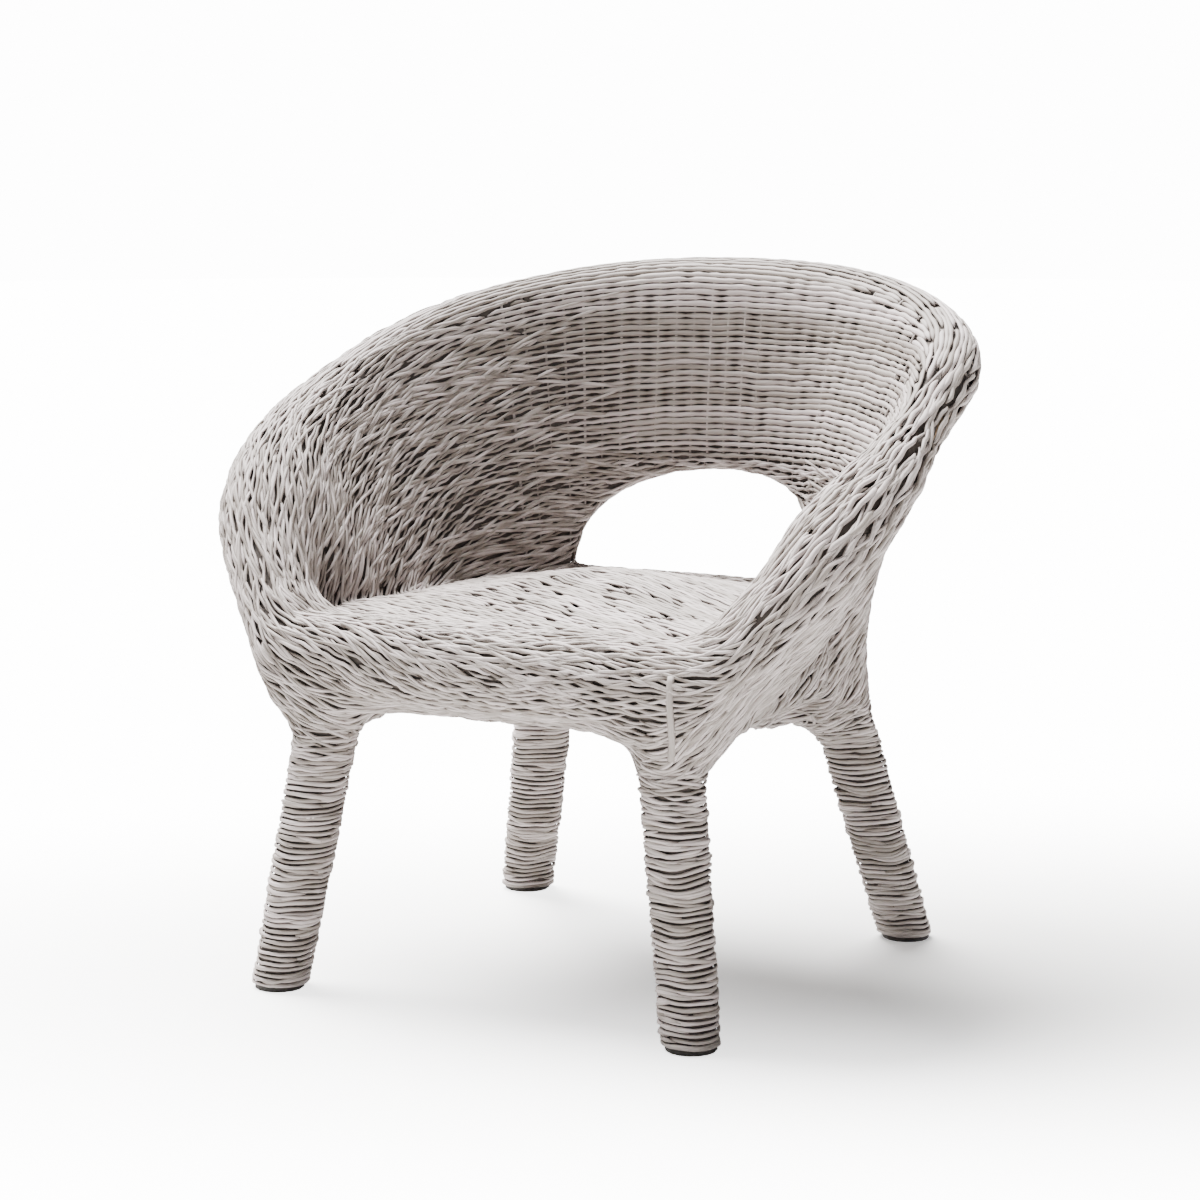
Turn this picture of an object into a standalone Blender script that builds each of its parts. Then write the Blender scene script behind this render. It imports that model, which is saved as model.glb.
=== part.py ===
"""Wicker garden chair: posts and bent poles under woven skins, with wound legs.

Metres, +Z up. The front faces -Y and the sitter's left arm is on +X.
Plan positions are polar about the middle of the seat: an angle of zero points to the back.
"""
import math

import bmesh
import bpy
from mathutils import Vector

# Fits
FIT_GAP = 0.0003
COPE_GAP = 0.0004
DECK_FIT = 0.0009
COLLAR_FIT = 0.0009

# Where the middle of the four feet lies, so that the whole chair is centred on the origin
SEAT_CENTRE_Y = -0.0461

# Seat, from the deck down to the rails
DECK_EDGE_Z = 0.412
DECK_CROWN = 0.026
DECK_THICKNESS = 0.008
DECK_SIDE_OVERHANG = 0.037
DECK_FRONT_DEPTH = 0.212
DECK_BACK_DEPTH = 0.212
DECK_SQUARENESS = 2.8
SLAT_COUNT = 5
SLAT_WIDTH = 0.030
SLAT_THICKNESS = 0.010
SLAT_SPAN_Y = 0.290
SLAT_SLACK = 0.0040
RAIL_RADIUS = 0.014

# Legs
FOOT_HALF_WIDTH = 0.255
FOOT_HALF_DEPTH = 0.269
FRONT_LEG_TOP_X = 0.198
FRONT_LEG_TOP_Y = 0.222
REAR_LEG_TOP_X = 0.171
REAR_LEG_TOP_Y = 0.192
POST_FOOT_RADIUS = 0.0245
POST_TOP_RADIUS = 0.0305
FOOT_RADIUS = 0.0275
FOOT_HEIGHT = 0.006
FOOT_CHAMFER = 0.0015
STEM_RADIUS = 0.005
STEM_LENGTH = 0.022

# Winding of each leg: one flat band from the foot to the collar
WINDING_LOOPS = 20
WINDING_THICKNESS = 0.006
WINDING_GAP = 0.0009
WINDING_EDGE = 0.0016
COLLAR_BASE_Z = 0.228
COLLAR_FLARE = 0.016

# Woven skins
WEAVE_THICKNESS = 0.006
SIDE_SKIRT_Z = 0.280
FRONT_SKIRT_Z = 0.312
REAR_SKIRT_Z = 0.305
SKIRT_TUCK = 0.006
FRONT_LOBE = 0.010
REAR_LOBE = 0.002
BACK_BELLY = 0.32
ARM_BELLY = 0.62
BELLY_START = math.radians(70)
BELLY_RANGE = math.radians(45)
APRON_BELLY = 0.45
BELLY_RISE = 0.33
WAIST_BELLY = -0.35
WAIST_RISE = 0.36
WAIST_START = math.radians(35)
WAIST_RAMP = math.radians(8)
WAIST_END = math.radians(44)
WAIST_BLEND = math.radians(14)
INNER_LEAN = 0.35
INNER_RISE = 0.45
LOBE_WIDTH = 1.35
LOBE_ANGLE = math.radians(18)
LOBE_BLEND = math.radians(10)
SKIRT_RISE_ANGLE = math.radians(12)
SKIRT_RISE_START = 0.2
SKIRT_SQUARENESS = 12

# Ribs: the thick canes that stand out of the weave, along the rim on the walls and slanting on the deck
RIB_HEIGHT = 0.0045
RIB_FADE_ANGLE = math.radians(14)
DECK_RIB_HEIGHT = 0.0028
DECK_RIB_PITCH = 0.075
DECK_RIB_SLANT = math.radians(30)
DECK_RIB_FADE = 6

# Rolled rim of the back and arms
RIM_HALF_WIDTH = 0.379
RIM_BACK_DEPTH = 0.350
RIM_FRONT_DEPTH = 0.305
RIM_SQUARENESS = 2.15
RIM_BACK_Z = 0.737
RIM_END_Z = 0.360
RIM_DROP_POWER = 2.3
BACK_ROLL_RADIUS = 0.038
ARM_ROLL_RADIUS = 0.060
END_ROLL_RADIUS = 0.045
ARM_ROLL_START = math.radians(78)
ARM_ROLL_ANGLE = math.radians(112)
ARM_END_ANGLE = math.radians(137)
RIM_POLE_RADIUS = 0.011
RIM_LAP_ANGLE = math.radians(125)
RIM_LAP_LENGTH = 0.045

# Arched opening under the back
ARCH_DEPTH = 0.310
ARCH_END_DEPTH = 0.284
ARCH_TOP_Z = 0.532
ARCH_END_Z = 0.424
ARCH_END_ANGLE = math.radians(36)
ARCH_FALL_ANGLE = math.radians(4)
ARCH_BLEND_ANGLE = math.radians(9)
ARCH_BAND = 0.034
ARCH_POLE_RADIUS = 0.0095

# Rolls at the front and rear edges of the seat
APRON_DEPTH = 0.240
APRON_Z = 0.369
APRON_RADIUS = 0.043
REAR_ROLL_DEPTH = 0.224
REAR_ROLL_Z = 0.375
REAR_ROLL_RADIUS = 0.037
REAR_ROLL_ANGLE = math.radians(35)

# Poles inside the walls
UPRIGHT_RADIUS = 0.010
UPRIGHT_OFFSET = 0.012
UPRIGHT_RISE = 0.020
STAKE_RADIUS = 0.0035
STAKE_STAND_OFF = 0.020
STAKE_TURN_IN = 0.008
BACK_STAKES = 7
BACK_STAKE_ANGLE = math.radians(28)
SIDE_STAKES = 3
SIDE_STAKE_FIRST = math.radians(82)
SIDE_STAKE_LAST = math.radians(112)

# Bolts through the posts into the front and rear rails
BOLT_RADIUS = 0.004
BOLT_HEAD_RADIUS = 0.007
BOLT_HEAD_HEIGHT = 0.004
BOLT_LENGTH = 0.095

# Binding strip on the front leg at the viewer's right
STRIP_WIDTH = 0.010
STRIP_THICKNESS = 0.003
STRIP_FIT = 0.0008
STRIP_ANGLE = math.radians(140.3)
STRIP_FOOT_RISE = 0.012
STRIP_LENGTH = 0.098
STRIP_STEPS = 7

# Counts of facets and of columns round the chair
POLE_SIDES = 8
STAKE_SIDES = 6
LEG_SIDES = 16
WINDING_POINTS = 12
SLAT_STEPS = 14
COLLAR_STEPS = 3
ARCH_COLUMNS = 7
FALL_COLUMNS = 2
ARM_COLUMN_SHARES = (0.05, 0.11, 0.195, 0.30, 0.41, 0.52, 0.63, 0.74, 0.84, 0.93, 1.0)
APRON_COLUMNS = 14
DECK_COLUMNS = 36
DECK_TOP_SHARES = (0.12, 0.23, 0.34, 0.45, 0.56, 0.67, 0.78, 0.89, 1.0)
DECK_UNDER_SHARES = (1.0, 0.83, 0.66, 0.49, 0.32, 0.15)
RIM_POLE_POINTS = 16
RIM_POLE_STEP = math.radians(8)
LAP_POINTS = 2

# Steps along the outer wall, over the roll and down the inner wall, even in all so that no foot has a rib
RIBBED_STEPS = (9, 12, 9)
HOLLOW_STEPS = (5, 6, 5)
EDGE_STEPS = (3, 6, 2)

# Where the poles pass through the walls, as shares of the way up
UPRIGHT_SHARES = (0.5, 0.65, 0.8, 0.95)
BACK_STAKE_SHARES = (0.4, 0.6, 0.8)
SIDE_STAKE_SHARES = (0.3, 0.6, 0.9)

# Limits of the curves: how near a wall's control point may come to its roll, and how square it may leave
ROLL_CLEARANCE = 1.08
TOUCH_LIMIT = 0.95
STEEP = 0.9

# Finishes as colour, roughness and metal share
CANE = ((0.62, 0.57, 0.49), 0.75, 0.0)
POLE = ((0.45, 0.33, 0.21), 0.6, 0.0)
STEEL = ((0.55, 0.55, 0.56), 0.35, 1.0)
DARK = ((0.05, 0.045, 0.04), 0.7, 0.0)

# Sizes that follow from the seat and its frame
DECK_HALF_WIDTH = FRONT_LEG_TOP_X + DECK_SIDE_OVERHANG
SLAT_BOTTOM_Z = DECK_EDGE_Z - DECK_THICKNESS - SLAT_THICKNESS - DECK_FIT
RAIL_Z = SLAT_BOTTOM_Z - FIT_GAP - RAIL_RADIUS
POST_TOP_Z = RAIL_Z + RAIL_RADIUS
INNER_FOOT_Z = DECK_EDGE_Z - DECK_THICKNESS / 2

LEG_TOPS = {
    "front_right": (-FRONT_LEG_TOP_X, -FRONT_LEG_TOP_Y),
    "front_left": (FRONT_LEG_TOP_X, -FRONT_LEG_TOP_Y),
    "rear_right": (-REAR_LEG_TOP_X, REAR_LEG_TOP_Y),
    "rear_left": (REAR_LEG_TOP_X, REAR_LEG_TOP_Y),
}


def smooth(value):
    value = min(max(value, 0.0), 1.0)
    return value * value * (3 - 2 * value)


def mix(start, end, share):
    return start + (end - start) * share


def outline_radius(angle, half_width, back, front, squareness):
    """Distance from the seat's middle to a rounded oval at an angle."""
    depth = back if math.cos(angle) >= 0 else front
    across = abs(math.sin(angle) / half_width) ** squareness
    along = abs(math.cos(angle) / depth) ** squareness
    return (across + along) ** (-1 / squareness)


def at(angle, radius, height):
    """Point in space from a plan angle, plan radius and height."""
    return Vector((radius * math.sin(angle), SEAT_CENTRE_Y + radius * math.cos(angle), height))


# Legs


def leg_axis(leg, height):
    """Point on a leg's axis, which splays from the rail down to the foot."""
    top_x, top_y = LEG_TOPS[leg]
    foot_x = math.copysign(FOOT_HALF_WIDTH, top_x)
    foot_y = math.copysign(FOOT_HALF_DEPTH, top_y)
    share = height / RAIL_Z
    return Vector((mix(foot_x, top_x, share), SEAT_CENTRE_Y + mix(foot_y, top_y, share), height))


def post_radius(height):
    return mix(POST_FOOT_RADIUS, POST_TOP_RADIUS, height / POST_TOP_Z)


def leg_polar(leg, height):
    """Plan angle and radius of a leg's axis, as on the +X side."""
    point = leg_axis(leg, height)
    return math.atan2(abs(point.x), point.y - SEAT_CENTRE_Y), math.hypot(point.x, point.y - SEAT_CENTRE_Y)


# Sections of the woven wall, as (radius, height) at a plan angle


def deck_radius(angle):
    return outline_radius(angle, DECK_HALF_WIDTH, DECK_BACK_DEPTH, DECK_FRONT_DEPTH, DECK_SQUARENESS)


def rim(angle):
    """Plan radius, height and roll radius of the rim."""
    radius = outline_radius(angle, RIM_HALF_WIDTH, RIM_BACK_DEPTH, RIM_FRONT_DEPTH, RIM_SQUARENESS)
    fall = min(angle / ARM_END_ANGLE, 1.0) ** RIM_DROP_POWER
    height = mix(RIM_BACK_Z, RIM_END_Z, fall)
    if angle < ARM_ROLL_ANGLE:
        swell = smooth((angle - ARM_ROLL_START) / (ARM_ROLL_ANGLE - ARM_ROLL_START))
        roll = mix(BACK_ROLL_RADIUS, ARM_ROLL_RADIUS, swell)
    else:
        past = (angle - ARM_ROLL_ANGLE) / (ARM_END_ANGLE - ARM_ROLL_ANGLE)
        roll = mix(ARM_ROLL_RADIUS, END_ROLL_RADIUS, min(past, 1.0))
    return radius, height, roll


def arch(angle):
    """Plan radius and height of the arch's lower edge."""
    share = min(angle / ARCH_END_ANGLE, 1.0)
    height = mix(ARCH_END_Z, ARCH_TOP_Z, math.sqrt(1 - share * share))
    return mix(ARCH_DEPTH, ARCH_END_DEPTH, share * share), height


def lobe(angle, leg, stand_out, tucked):
    """Plan radius of the skirt's lower edge where it runs out round a leg."""
    leg_angle, leg_radius = leg_polar(leg, SIDE_SKIRT_Z)
    off = abs(angle - leg_angle)
    reach = post_radius(RAIL_Z) + WEAVE_THICKNESS + stand_out
    across = leg_radius * math.sin(off) / (reach * LOBE_WIDTH)
    round_leg = leg_radius * math.cos(off) + reach * max(0.0, 1 - across * across)
    return mix(tucked, round_leg, smooth((LOBE_ANGLE - off) / LOBE_BLEND))


def skirt(angle):
    """Plan radius and height of the skirt's lower edge: tucked between legs, outside them at legs."""
    front_angle, _ = leg_polar("front_left", SIDE_SKIRT_Z)
    rear_angle, _ = leg_polar("rear_left", SIDE_SKIRT_Z)
    side = mix(REAR_LEG_TOP_X, FRONT_LEG_TOP_X, smooth((angle - rear_angle) / (front_angle - rear_angle)))
    tucked = outline_radius(angle, side, REAR_LEG_TOP_Y, FRONT_LEG_TOP_Y, SKIRT_SQUARENESS) - SKIRT_TUCK
    radius = lobe(angle, "front_left", FRONT_LOBE, lobe(angle, "rear_left", REAR_LOBE, tucked))
    from_rear = (angle - rear_angle) / SKIRT_RISE_ANGLE + 1 + SKIRT_RISE_START
    from_front = (angle - front_angle) / SKIRT_RISE_ANGLE - SKIRT_RISE_START
    height = mix(REAR_SKIRT_Z, SIDE_SKIRT_Z, smooth(from_rear))
    return radius, mix(height, FRONT_SKIRT_Z, smooth(from_front))


def bend(start, control, end, share):
    """Point on a quadratic curve."""
    keep = 1 - share
    return tuple(
        keep * keep * a + 2 * keep * share * b + share * share * c
        for a, b, c in zip(start, control, end)
    )


def touch(control, centre, radius, side):
    """Angle at which a line from the control point touches the roll, on the given side."""
    away_x, away_z = control[0] - centre[0], control[1] - centre[1]
    reach = math.hypot(away_x, away_z)
    return math.atan2(away_z, away_x) + side * math.acos(min(radius / reach, TOUCH_LIMIT))


def pushed(control, centre, radius):
    """The control point, moved out to stand clear of the roll."""
    away_x, away_z = control[0] - centre[0], control[1] - centre[1]
    reach = math.hypot(away_x, away_z)
    factor = max(1.0, radius * ROLL_CLEARANCE / reach)
    return centre[0] + away_x * factor, centre[1] + away_z * factor


def on_roll(centre, radius, turn):
    return centre[0] + radius * math.cos(turn), centre[1] + radius * math.sin(turn)


def wall_curves(outer_foot, inner_foot, centre, radius, swell):
    """Outer curve, inner curve and the two angles where they leave the roll."""
    belly, rise = swell
    outer_control = (
        mix(outer_foot[0], centre[0] + radius, belly),
        mix(outer_foot[1], centre[1], rise),
    )
    inner_control = (
        mix(inner_foot[0], max(centre[0] - radius, inner_foot[0]), INNER_LEAN),
        mix(inner_foot[1], centre[1] + radius, INNER_RISE),
    )
    outer_control = pushed(outer_control, centre, radius)
    inner_control = pushed(inner_control, centre, radius)
    outer_touch = touch(outer_control, centre, radius, 1)
    inner_touch = touch(inner_control, centre, radius, -1)
    while inner_touch < outer_touch:
        inner_touch += 2 * math.pi
    outer = (outer_foot, outer_control, on_roll(centre, radius, outer_touch))
    inner = (inner_foot, inner_control, on_roll(centre, radius, inner_touch))
    return outer, inner, outer_touch, inner_touch


def section(outer_foot, inner_foot, centre, radius, swell, steps):
    """Section of a wall from its outer foot, over the roll, to its inner foot."""
    outer, inner, first, last = wall_curves(outer_foot, inner_foot, centre, radius, swell)
    outer_steps, roll_steps, inner_steps = steps
    points = [bend(*outer, step / outer_steps) for step in range(outer_steps)]
    for step in range(roll_steps + 1):
        points.append(on_roll(centre, radius, mix(first, last, step / roll_steps)))
    points += [bend(*inner, 1 - step / inner_steps) for step in range(1, inner_steps + 1)]
    return points


def shell_feet(angle):
    """Outer and inner foot of the back and arms: at the arch, or at the skirt and the deck."""
    closed = smooth((angle - ARCH_END_ANGLE) / ARCH_FALL_ANGLE)
    arch_radius, arch_z = arch(angle)
    skirt_radius, skirt_z = skirt(angle)
    outer = (mix(arch_radius + ARCH_BAND / 2, skirt_radius, closed), mix(arch_z, skirt_z, closed))
    blended = smooth((angle - ARCH_END_ANGLE) / ARCH_BLEND_ANGLE / 2 + 0.5)
    inner_radius = mix(arch_radius - ARCH_BAND / 2, deck_radius(angle) + DECK_FIT, blended)
    return outer, (inner_radius, mix(arch_z, INNER_FOOT_Z, closed))


def swell(angle):
    """How far the outer wall swells between foot and roll, and how high; it has a waist at the rear legs."""
    waist = smooth((angle - WAIST_START) / WAIST_RAMP)
    waist *= 1 - smooth((angle - WAIST_END) / WAIST_BLEND)
    belly = mix(BACK_BELLY, ARM_BELLY, smooth((angle - BELLY_START) / BELLY_RANGE))
    return mix(belly, WAIST_BELLY, waist), mix(BELLY_RISE, WAIST_RISE, waist)


def shell_curve(angle, steps):
    radius, height, roll = rim(angle)
    return section(*shell_feet(angle), (radius, height), roll, swell(angle), steps)


def moved(points, distances):
    """Points of a section moved square to it, each by its own distance, outwards where positive."""
    result = []
    for index, (point, distance) in enumerate(zip(points, distances)):
        before = points[max(index - 1, 0)]
        after = points[min(index + 1, len(points) - 1)]
        run = math.hypot(after[0] - before[0], after[1] - before[1])
        result.append(
            (
                point[0] + (after[1] - before[1]) / run * distance,
                point[1] - (after[0] - before[0]) / run * distance,
            )
        )
    return result


def set_in(points):
    """The hollow side of a wall, from its inner foot back to its outer foot."""
    return moved(points, [-WEAVE_THICKNESS] * len(points))[::-1]


def wall_insides(angle):
    """The side of the shell's section that faces the hollow between its walls."""
    return set_in(shell_curve(angle, HOLLOW_STEPS))


def shell_section(angle):
    """Closed ring of the shell: every second point outside stands out as a rib, but for the arms' ends."""
    points = shell_curve(angle, RIBBED_STEPS)
    rib = RIB_HEIGHT * smooth((ARM_END_ANGLE - angle) / RIB_FADE_ANGLE)
    return moved(points, [rib * (index % 2) for index in range(len(points))]) + wall_insides(angle)


def edge_section(angle, depth, height, roll):
    """Section of a straight seat roll, worked in depth from the seat's middle and turned to radius."""
    turn = abs(math.cos(angle))
    skirt_radius, skirt_z = skirt(angle)
    inner = ((deck_radius(angle) + DECK_FIT) * turn, INNER_FOOT_Z)
    outer = (skirt_radius * turn, skirt_z)
    points = section(outer, inner, (depth, height), roll, (APRON_BELLY, BELLY_RISE), EDGE_STEPS)
    return [(point[0] / turn, point[1]) for point in points + set_in(points)]


def inner_wall(angle, share):
    """Point on the inner wall of the shell, from its foot to the roll."""
    radius, height, roll = rim(angle)
    return bend(*wall_curves(*shell_feet(angle), (radius, height), roll, swell(angle))[1], share)


def between_walls(angle, height):
    """Radius midway between the insides of the outer and inner walls of the shell at a height."""
    found = crossings(wall_insides(angle), height)
    return (min(found) + max(found)) / 2


def wall_middle(angle, share):
    """Point midway between the outer and inner walls of the shell."""
    radius, height, roll = rim(angle)
    outer, inner, _, _ = wall_curves(*shell_feet(angle), (radius, height), roll, swell(angle))
    outer_point = bend(*outer, share)
    inner_point = bend(*inner, share)
    return (outer_point[0] + inner_point[0]) / 2, (outer_point[1] + inner_point[1]) / 2


def seat_side(depth):
    """Half-width between the side rails at a depth from the seat's middle."""
    share = (depth + FRONT_LEG_TOP_Y) / (FRONT_LEG_TOP_Y + REAR_LEG_TOP_Y)
    return mix(FRONT_LEG_TOP_X, REAR_LEG_TOP_X, share)


def crown(across, depth, rise):
    """Rise above the seat's flat edge, for a given rise in the middle."""
    side = min(abs(across) / seat_side(depth), 1.0)
    reach = FRONT_LEG_TOP_Y if depth < 0 else REAR_LEG_TOP_Y
    along = min(abs(depth) / reach, 1.0)
    return rise * (1 - side * side) ** 2 * (1 - along * along) ** 2


def deck_rib(across, depth, share):
    """Rise of the deck's slanting ribs, which fade out at its edge."""
    over = across * math.sin(DECK_RIB_SLANT) + depth * math.cos(DECK_RIB_SLANT)
    return DECK_RIB_HEIGHT * abs(2 * (over / DECK_RIB_PITCH % 1) - 1) * (1 - share**DECK_RIB_FADE)


def crossings(points, height):
    """Radii at which a section crosses a height."""
    found = []
    for first, second in zip(points, points[1:]):
        if min(first[1], second[1]) <= height <= max(first[1], second[1]) and first[1] != second[1]:
            found.append(mix(first[0], second[0], (height - first[1]) / (second[1] - first[1])))
    return found


# Building blocks


def material(name, finish):
    colour, roughness, metallic = finish
    made = bpy.data.materials.new(name)
    made.use_nodes = True
    shader = made.node_tree.nodes["Principled BSDF"]
    shader.inputs["Base Color"].default_value = (*colour, 1.0)
    shader.inputs["Roughness"].default_value = roughness
    shader.inputs["Metallic"].default_value = metallic
    made.diffuse_color = (*colour, 1.0)
    return made


def add_object(name, rings, paint, closed_rings, closed_path, caps):
    """One solid or sheet from rows of points: rings are joined side by side, ends capped if asked."""
    mesh = bpy.data.meshes.new(name)
    shape = bmesh.new()
    rows = [[shape.verts.new(point) for point in ring] for ring in rings]
    count = len(rows[0])
    pairs = list(zip(rows, rows[1:]))
    if closed_path:
        pairs.append((rows[-1], rows[0]))
    for first, second in pairs:
        for index in range(count if closed_rings else count - 1):
            following = (index + 1) % count
            shape.faces.new((first[index], first[following], second[following], second[index]))
    if caps:
        shape.faces.new(list(reversed(rows[0])))
        shape.faces.new(rows[-1])
    bmesh.ops.recalc_face_normals(shape, faces=shape.faces[:])
    shape.to_mesh(mesh)
    shape.free()
    mesh.materials.append(paint)
    made = bpy.data.objects.new(name, mesh)
    bpy.context.collection.objects.link(made)
    return made


def tube(name, path, radius, sides, paint):
    """Round pole along a path of points, with flat ends."""
    directions = []
    for index in range(len(path)):
        before = path[max(index - 1, 0)]
        after = path[min(index + 1, len(path) - 1)]
        directions.append((after - before).normalized())
    start = Vector((0, 0, 1)) if abs(directions[0].z) < STEEP else Vector((0, 1, 0))
    normal = (start - directions[0] * start.dot(directions[0])).normalized()
    rings = []
    for point, direction in zip(path, directions):
        normal = (normal - direction * normal.dot(direction)).normalized()
        across = direction.cross(normal)
        turns = [2 * math.pi * side / sides for side in range(sides)]
        rings.append([point + (normal * math.cos(turn) + across * math.sin(turn)) * radius for turn in turns])
    return add_object(name, rings, paint, True, False, True)


def turned(name, leg, profile, paint, closed_path=False):
    """Solid turned about a leg's splayed axis from (radius, height) points, bottom to top."""
    rings = []
    for radius, height in profile:
        middle = leg_axis(leg, height)
        turns = [2 * math.pi * side / LEG_SIDES for side in range(LEG_SIDES)]
        rings.append([middle + Vector((math.cos(t), math.sin(t), 0)) * radius for t in turns])
    return add_object(name, rings, paint, True, closed_path, not closed_path)


def as_cutter(cutter):
    cutter.hide_render = True
    cutter.display_type = "WIRE"
    return cutter


def cut(piece, cutter):
    step = piece.modifiers.new("cut_" + cutter.name, "BOOLEAN")
    step.operation = "DIFFERENCE"
    step.solver = "EXACT"
    step.object = cutter


for old in list(bpy.data.objects):
    bpy.data.objects.remove(old, do_unlink=True)

# Legs: post with a blind hole for the foot's stem, foot, winding and collar
post_cutters = {}
for leg in LEG_TOPS:
    hole = STEM_RADIUS + FIT_GAP
    hole_top = FOOT_HEIGHT + STEM_LENGTH + FIT_GAP
    bottom = FOOT_HEIGHT + FIT_GAP
    post = turned(
        "leg_post_" + leg,
        leg,
        [
            (hole, hole_top),
            (hole, bottom),
            (post_radius(bottom), bottom),
            (post_radius(POST_TOP_Z), POST_TOP_Z),
        ],
        material("post_" + leg, POLE),
    )
    post_cutters[leg] = as_cutter(
        turned(
            "post_clearance_" + leg,
            leg,
            [
                (post_radius(bottom) + COPE_GAP, bottom),
                (post_radius(POST_TOP_Z) + COPE_GAP, POST_TOP_Z + 2 * RAIL_RADIUS),
            ],
            material("cutter_" + leg, DARK),
        )
    )
    turned(
        "leg_foot_" + leg,
        leg,
        [
            (FOOT_RADIUS - FOOT_CHAMFER, 0),
            (FOOT_RADIUS, FOOT_CHAMFER),
            (FOOT_RADIUS, FOOT_HEIGHT),
            (STEM_RADIUS, FOOT_HEIGHT),
            (STEM_RADIUS, FOOT_HEIGHT + STEM_LENGTH),
        ],
        material("foot_" + leg, DARK),
    )

    # The band climbs one pitch a loop; its edges are rounded off on the outside
    start_z = FOOT_HEIGHT + FIT_GAP
    pitch = (COLLAR_BASE_Z - FIT_GAP - start_z) / (WINDING_LOOPS + 1)
    band = pitch - WINDING_GAP
    rings = []
    for step in range(WINDING_LOOPS * WINDING_POINTS + 1):
        turn = 2 * math.pi * step / WINDING_POINTS
        low = start_z + pitch * step / WINDING_POINTS
        ring = []
        for out, up in (
            (0, 0),
            (WINDING_THICKNESS, WINDING_EDGE),
            (WINDING_THICKNESS, band - WINDING_EDGE),
            (0, band),
        ):
            clear = (post_radius(low + up) + FIT_GAP) / math.cos(math.pi / WINDING_POINTS)
            side = Vector((math.cos(turn), math.sin(turn), 0))
            ring.append(leg_axis(leg, low + up) + side * (clear + out))
        rings.append(ring)
    add_object("leg_winding_" + leg, rings, material("winding_" + leg, CANE), True, False, True)
    least = min(
        (low_ring[3] - high_ring[0]).length for low_ring, high_ring in zip(rings, rings[WINDING_POINTS:])
    )
    print("winding", leg, "least gap to itself", round(least * 1000, 3), "mm")

    skirt_z = min(SIDE_SKIRT_Z, REAR_SKIRT_Z, FRONT_SKIRT_Z) - COLLAR_FIT
    base_outer = post_radius(COLLAR_BASE_Z) + WINDING_THICKNESS
    outer = []
    inner = []
    for step in range(COLLAR_STEPS + 1):
        share = step / COLLAR_STEPS
        height = mix(COLLAR_BASE_Z, skirt_z, math.sin(share * math.pi / 2))
        flare = COLLAR_FLARE * (1 - math.cos(share * math.pi / 2))
        outer.append((base_outer + flare, height))
        inner.append((post_radius(height) + FIT_GAP + flare, height))
    turned(
        "leg_collar_" + leg, leg, outer + inner[::-1], material("collar_" + leg, CANE), closed_path=True
    )

# Rails between the posts, coped to them
rail_cutters = {}
for name, first, second in (
    ("front", "front_right", "front_left"),
    ("rear", "rear_right", "rear_left"),
    ("right", "front_right", "rear_right"),
    ("left", "front_left", "rear_left"),
):
    rail = tube(
        "seat_rail_" + name,
        [leg_axis(first, RAIL_Z), leg_axis(second, RAIL_Z)],
        RAIL_RADIUS,
        POLE_SIDES,
        material("rail_" + name, POLE),
    )
    cut(rail, post_cutters[first])
    cut(rail, post_cutters[second])
    rail_cutters[name] = as_cutter(
        tube(
            "rail_clearance_" + name,
            [leg_axis(first, RAIL_Z), leg_axis(second, RAIL_Z)],
            RAIL_RADIUS + COPE_GAP,
            POLE_SIDES,
            material("rail_cutter_" + name, DARK),
        )
    )

# Bolts through the posts along the front and rear rails
for leg, (top_x, top_y) in LEG_TOPS.items():
    middle = leg_axis(leg, RAIL_Z)
    inwards = Vector((-math.copysign(1, top_x), 0, 0))
    lean = (FOOT_HALF_WIDTH - abs(top_x)) / RAIL_Z * BOLT_HEAD_RADIUS
    seat = middle - inwards * (post_radius(RAIL_Z) + lean + FIT_GAP)
    rings = []
    for along, radius in (
        (-BOLT_HEAD_HEIGHT, BOLT_HEAD_RADIUS),
        (0, BOLT_HEAD_RADIUS),
        (0, BOLT_RADIUS),
        (BOLT_LENGTH, BOLT_RADIUS),
    ):
        turns = [2 * math.pi * side / POLE_SIDES for side in range(POLE_SIDES)]
        rings.append(
            [seat + inwards * along + Vector((0, math.cos(t), math.sin(t))) * radius for t in turns]
        )
    add_object("rail_bolt_" + leg, rings, material("bolt_" + leg, STEEL), True, False, True)
    bore = tube(
        "bolt_bore_" + leg,
        [seat - inwards * RAIL_RADIUS, seat + inwards * (BOLT_LENGTH + FIT_GAP)],
        (BOLT_RADIUS + FIT_GAP) / math.cos(math.pi / POLE_SIDES),
        POLE_SIDES,
        material("bore_" + leg, DARK),
    )
    as_cutter(bore)
    cut(bpy.data.objects["leg_post_" + leg], bore)
    cut(bpy.data.objects["seat_rail_" + ("front" if top_y < 0 else "rear")], bore)


# Slats, bowed like the deck above them, with their ends on the side rails
for index in range(SLAT_COUNT):
    depth = mix(-SLAT_SPAN_Y / 2, SLAT_SPAN_Y / 2, index / (SLAT_COUNT - 1))
    end = min(seat_side(depth - SLAT_WIDTH / 2), seat_side(depth + SLAT_WIDTH / 2))
    rings = []
    for step in range(SLAT_STEPS + 1):
        across = mix(-end, end, step / SLAT_STEPS)
        ring = []
        for edge, thick in ((-0.5, 0), (0.5, 0), (0.5, 1), (-0.5, 1)):
            edge_y = depth + edge * SLAT_WIDTH
            height = SLAT_BOTTOM_Z + crown(across, edge_y, DECK_CROWN - SLAT_SLACK) + thick * SLAT_THICKNESS
            ring.append(Vector((across, SEAT_CENTRE_Y + edge_y, height)))
        rings.append(ring)
    add_object(
        "seat_slat_" + str(index + 1), rings, material("slat_" + str(index + 1), POLE), True, False, True
    )

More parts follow.
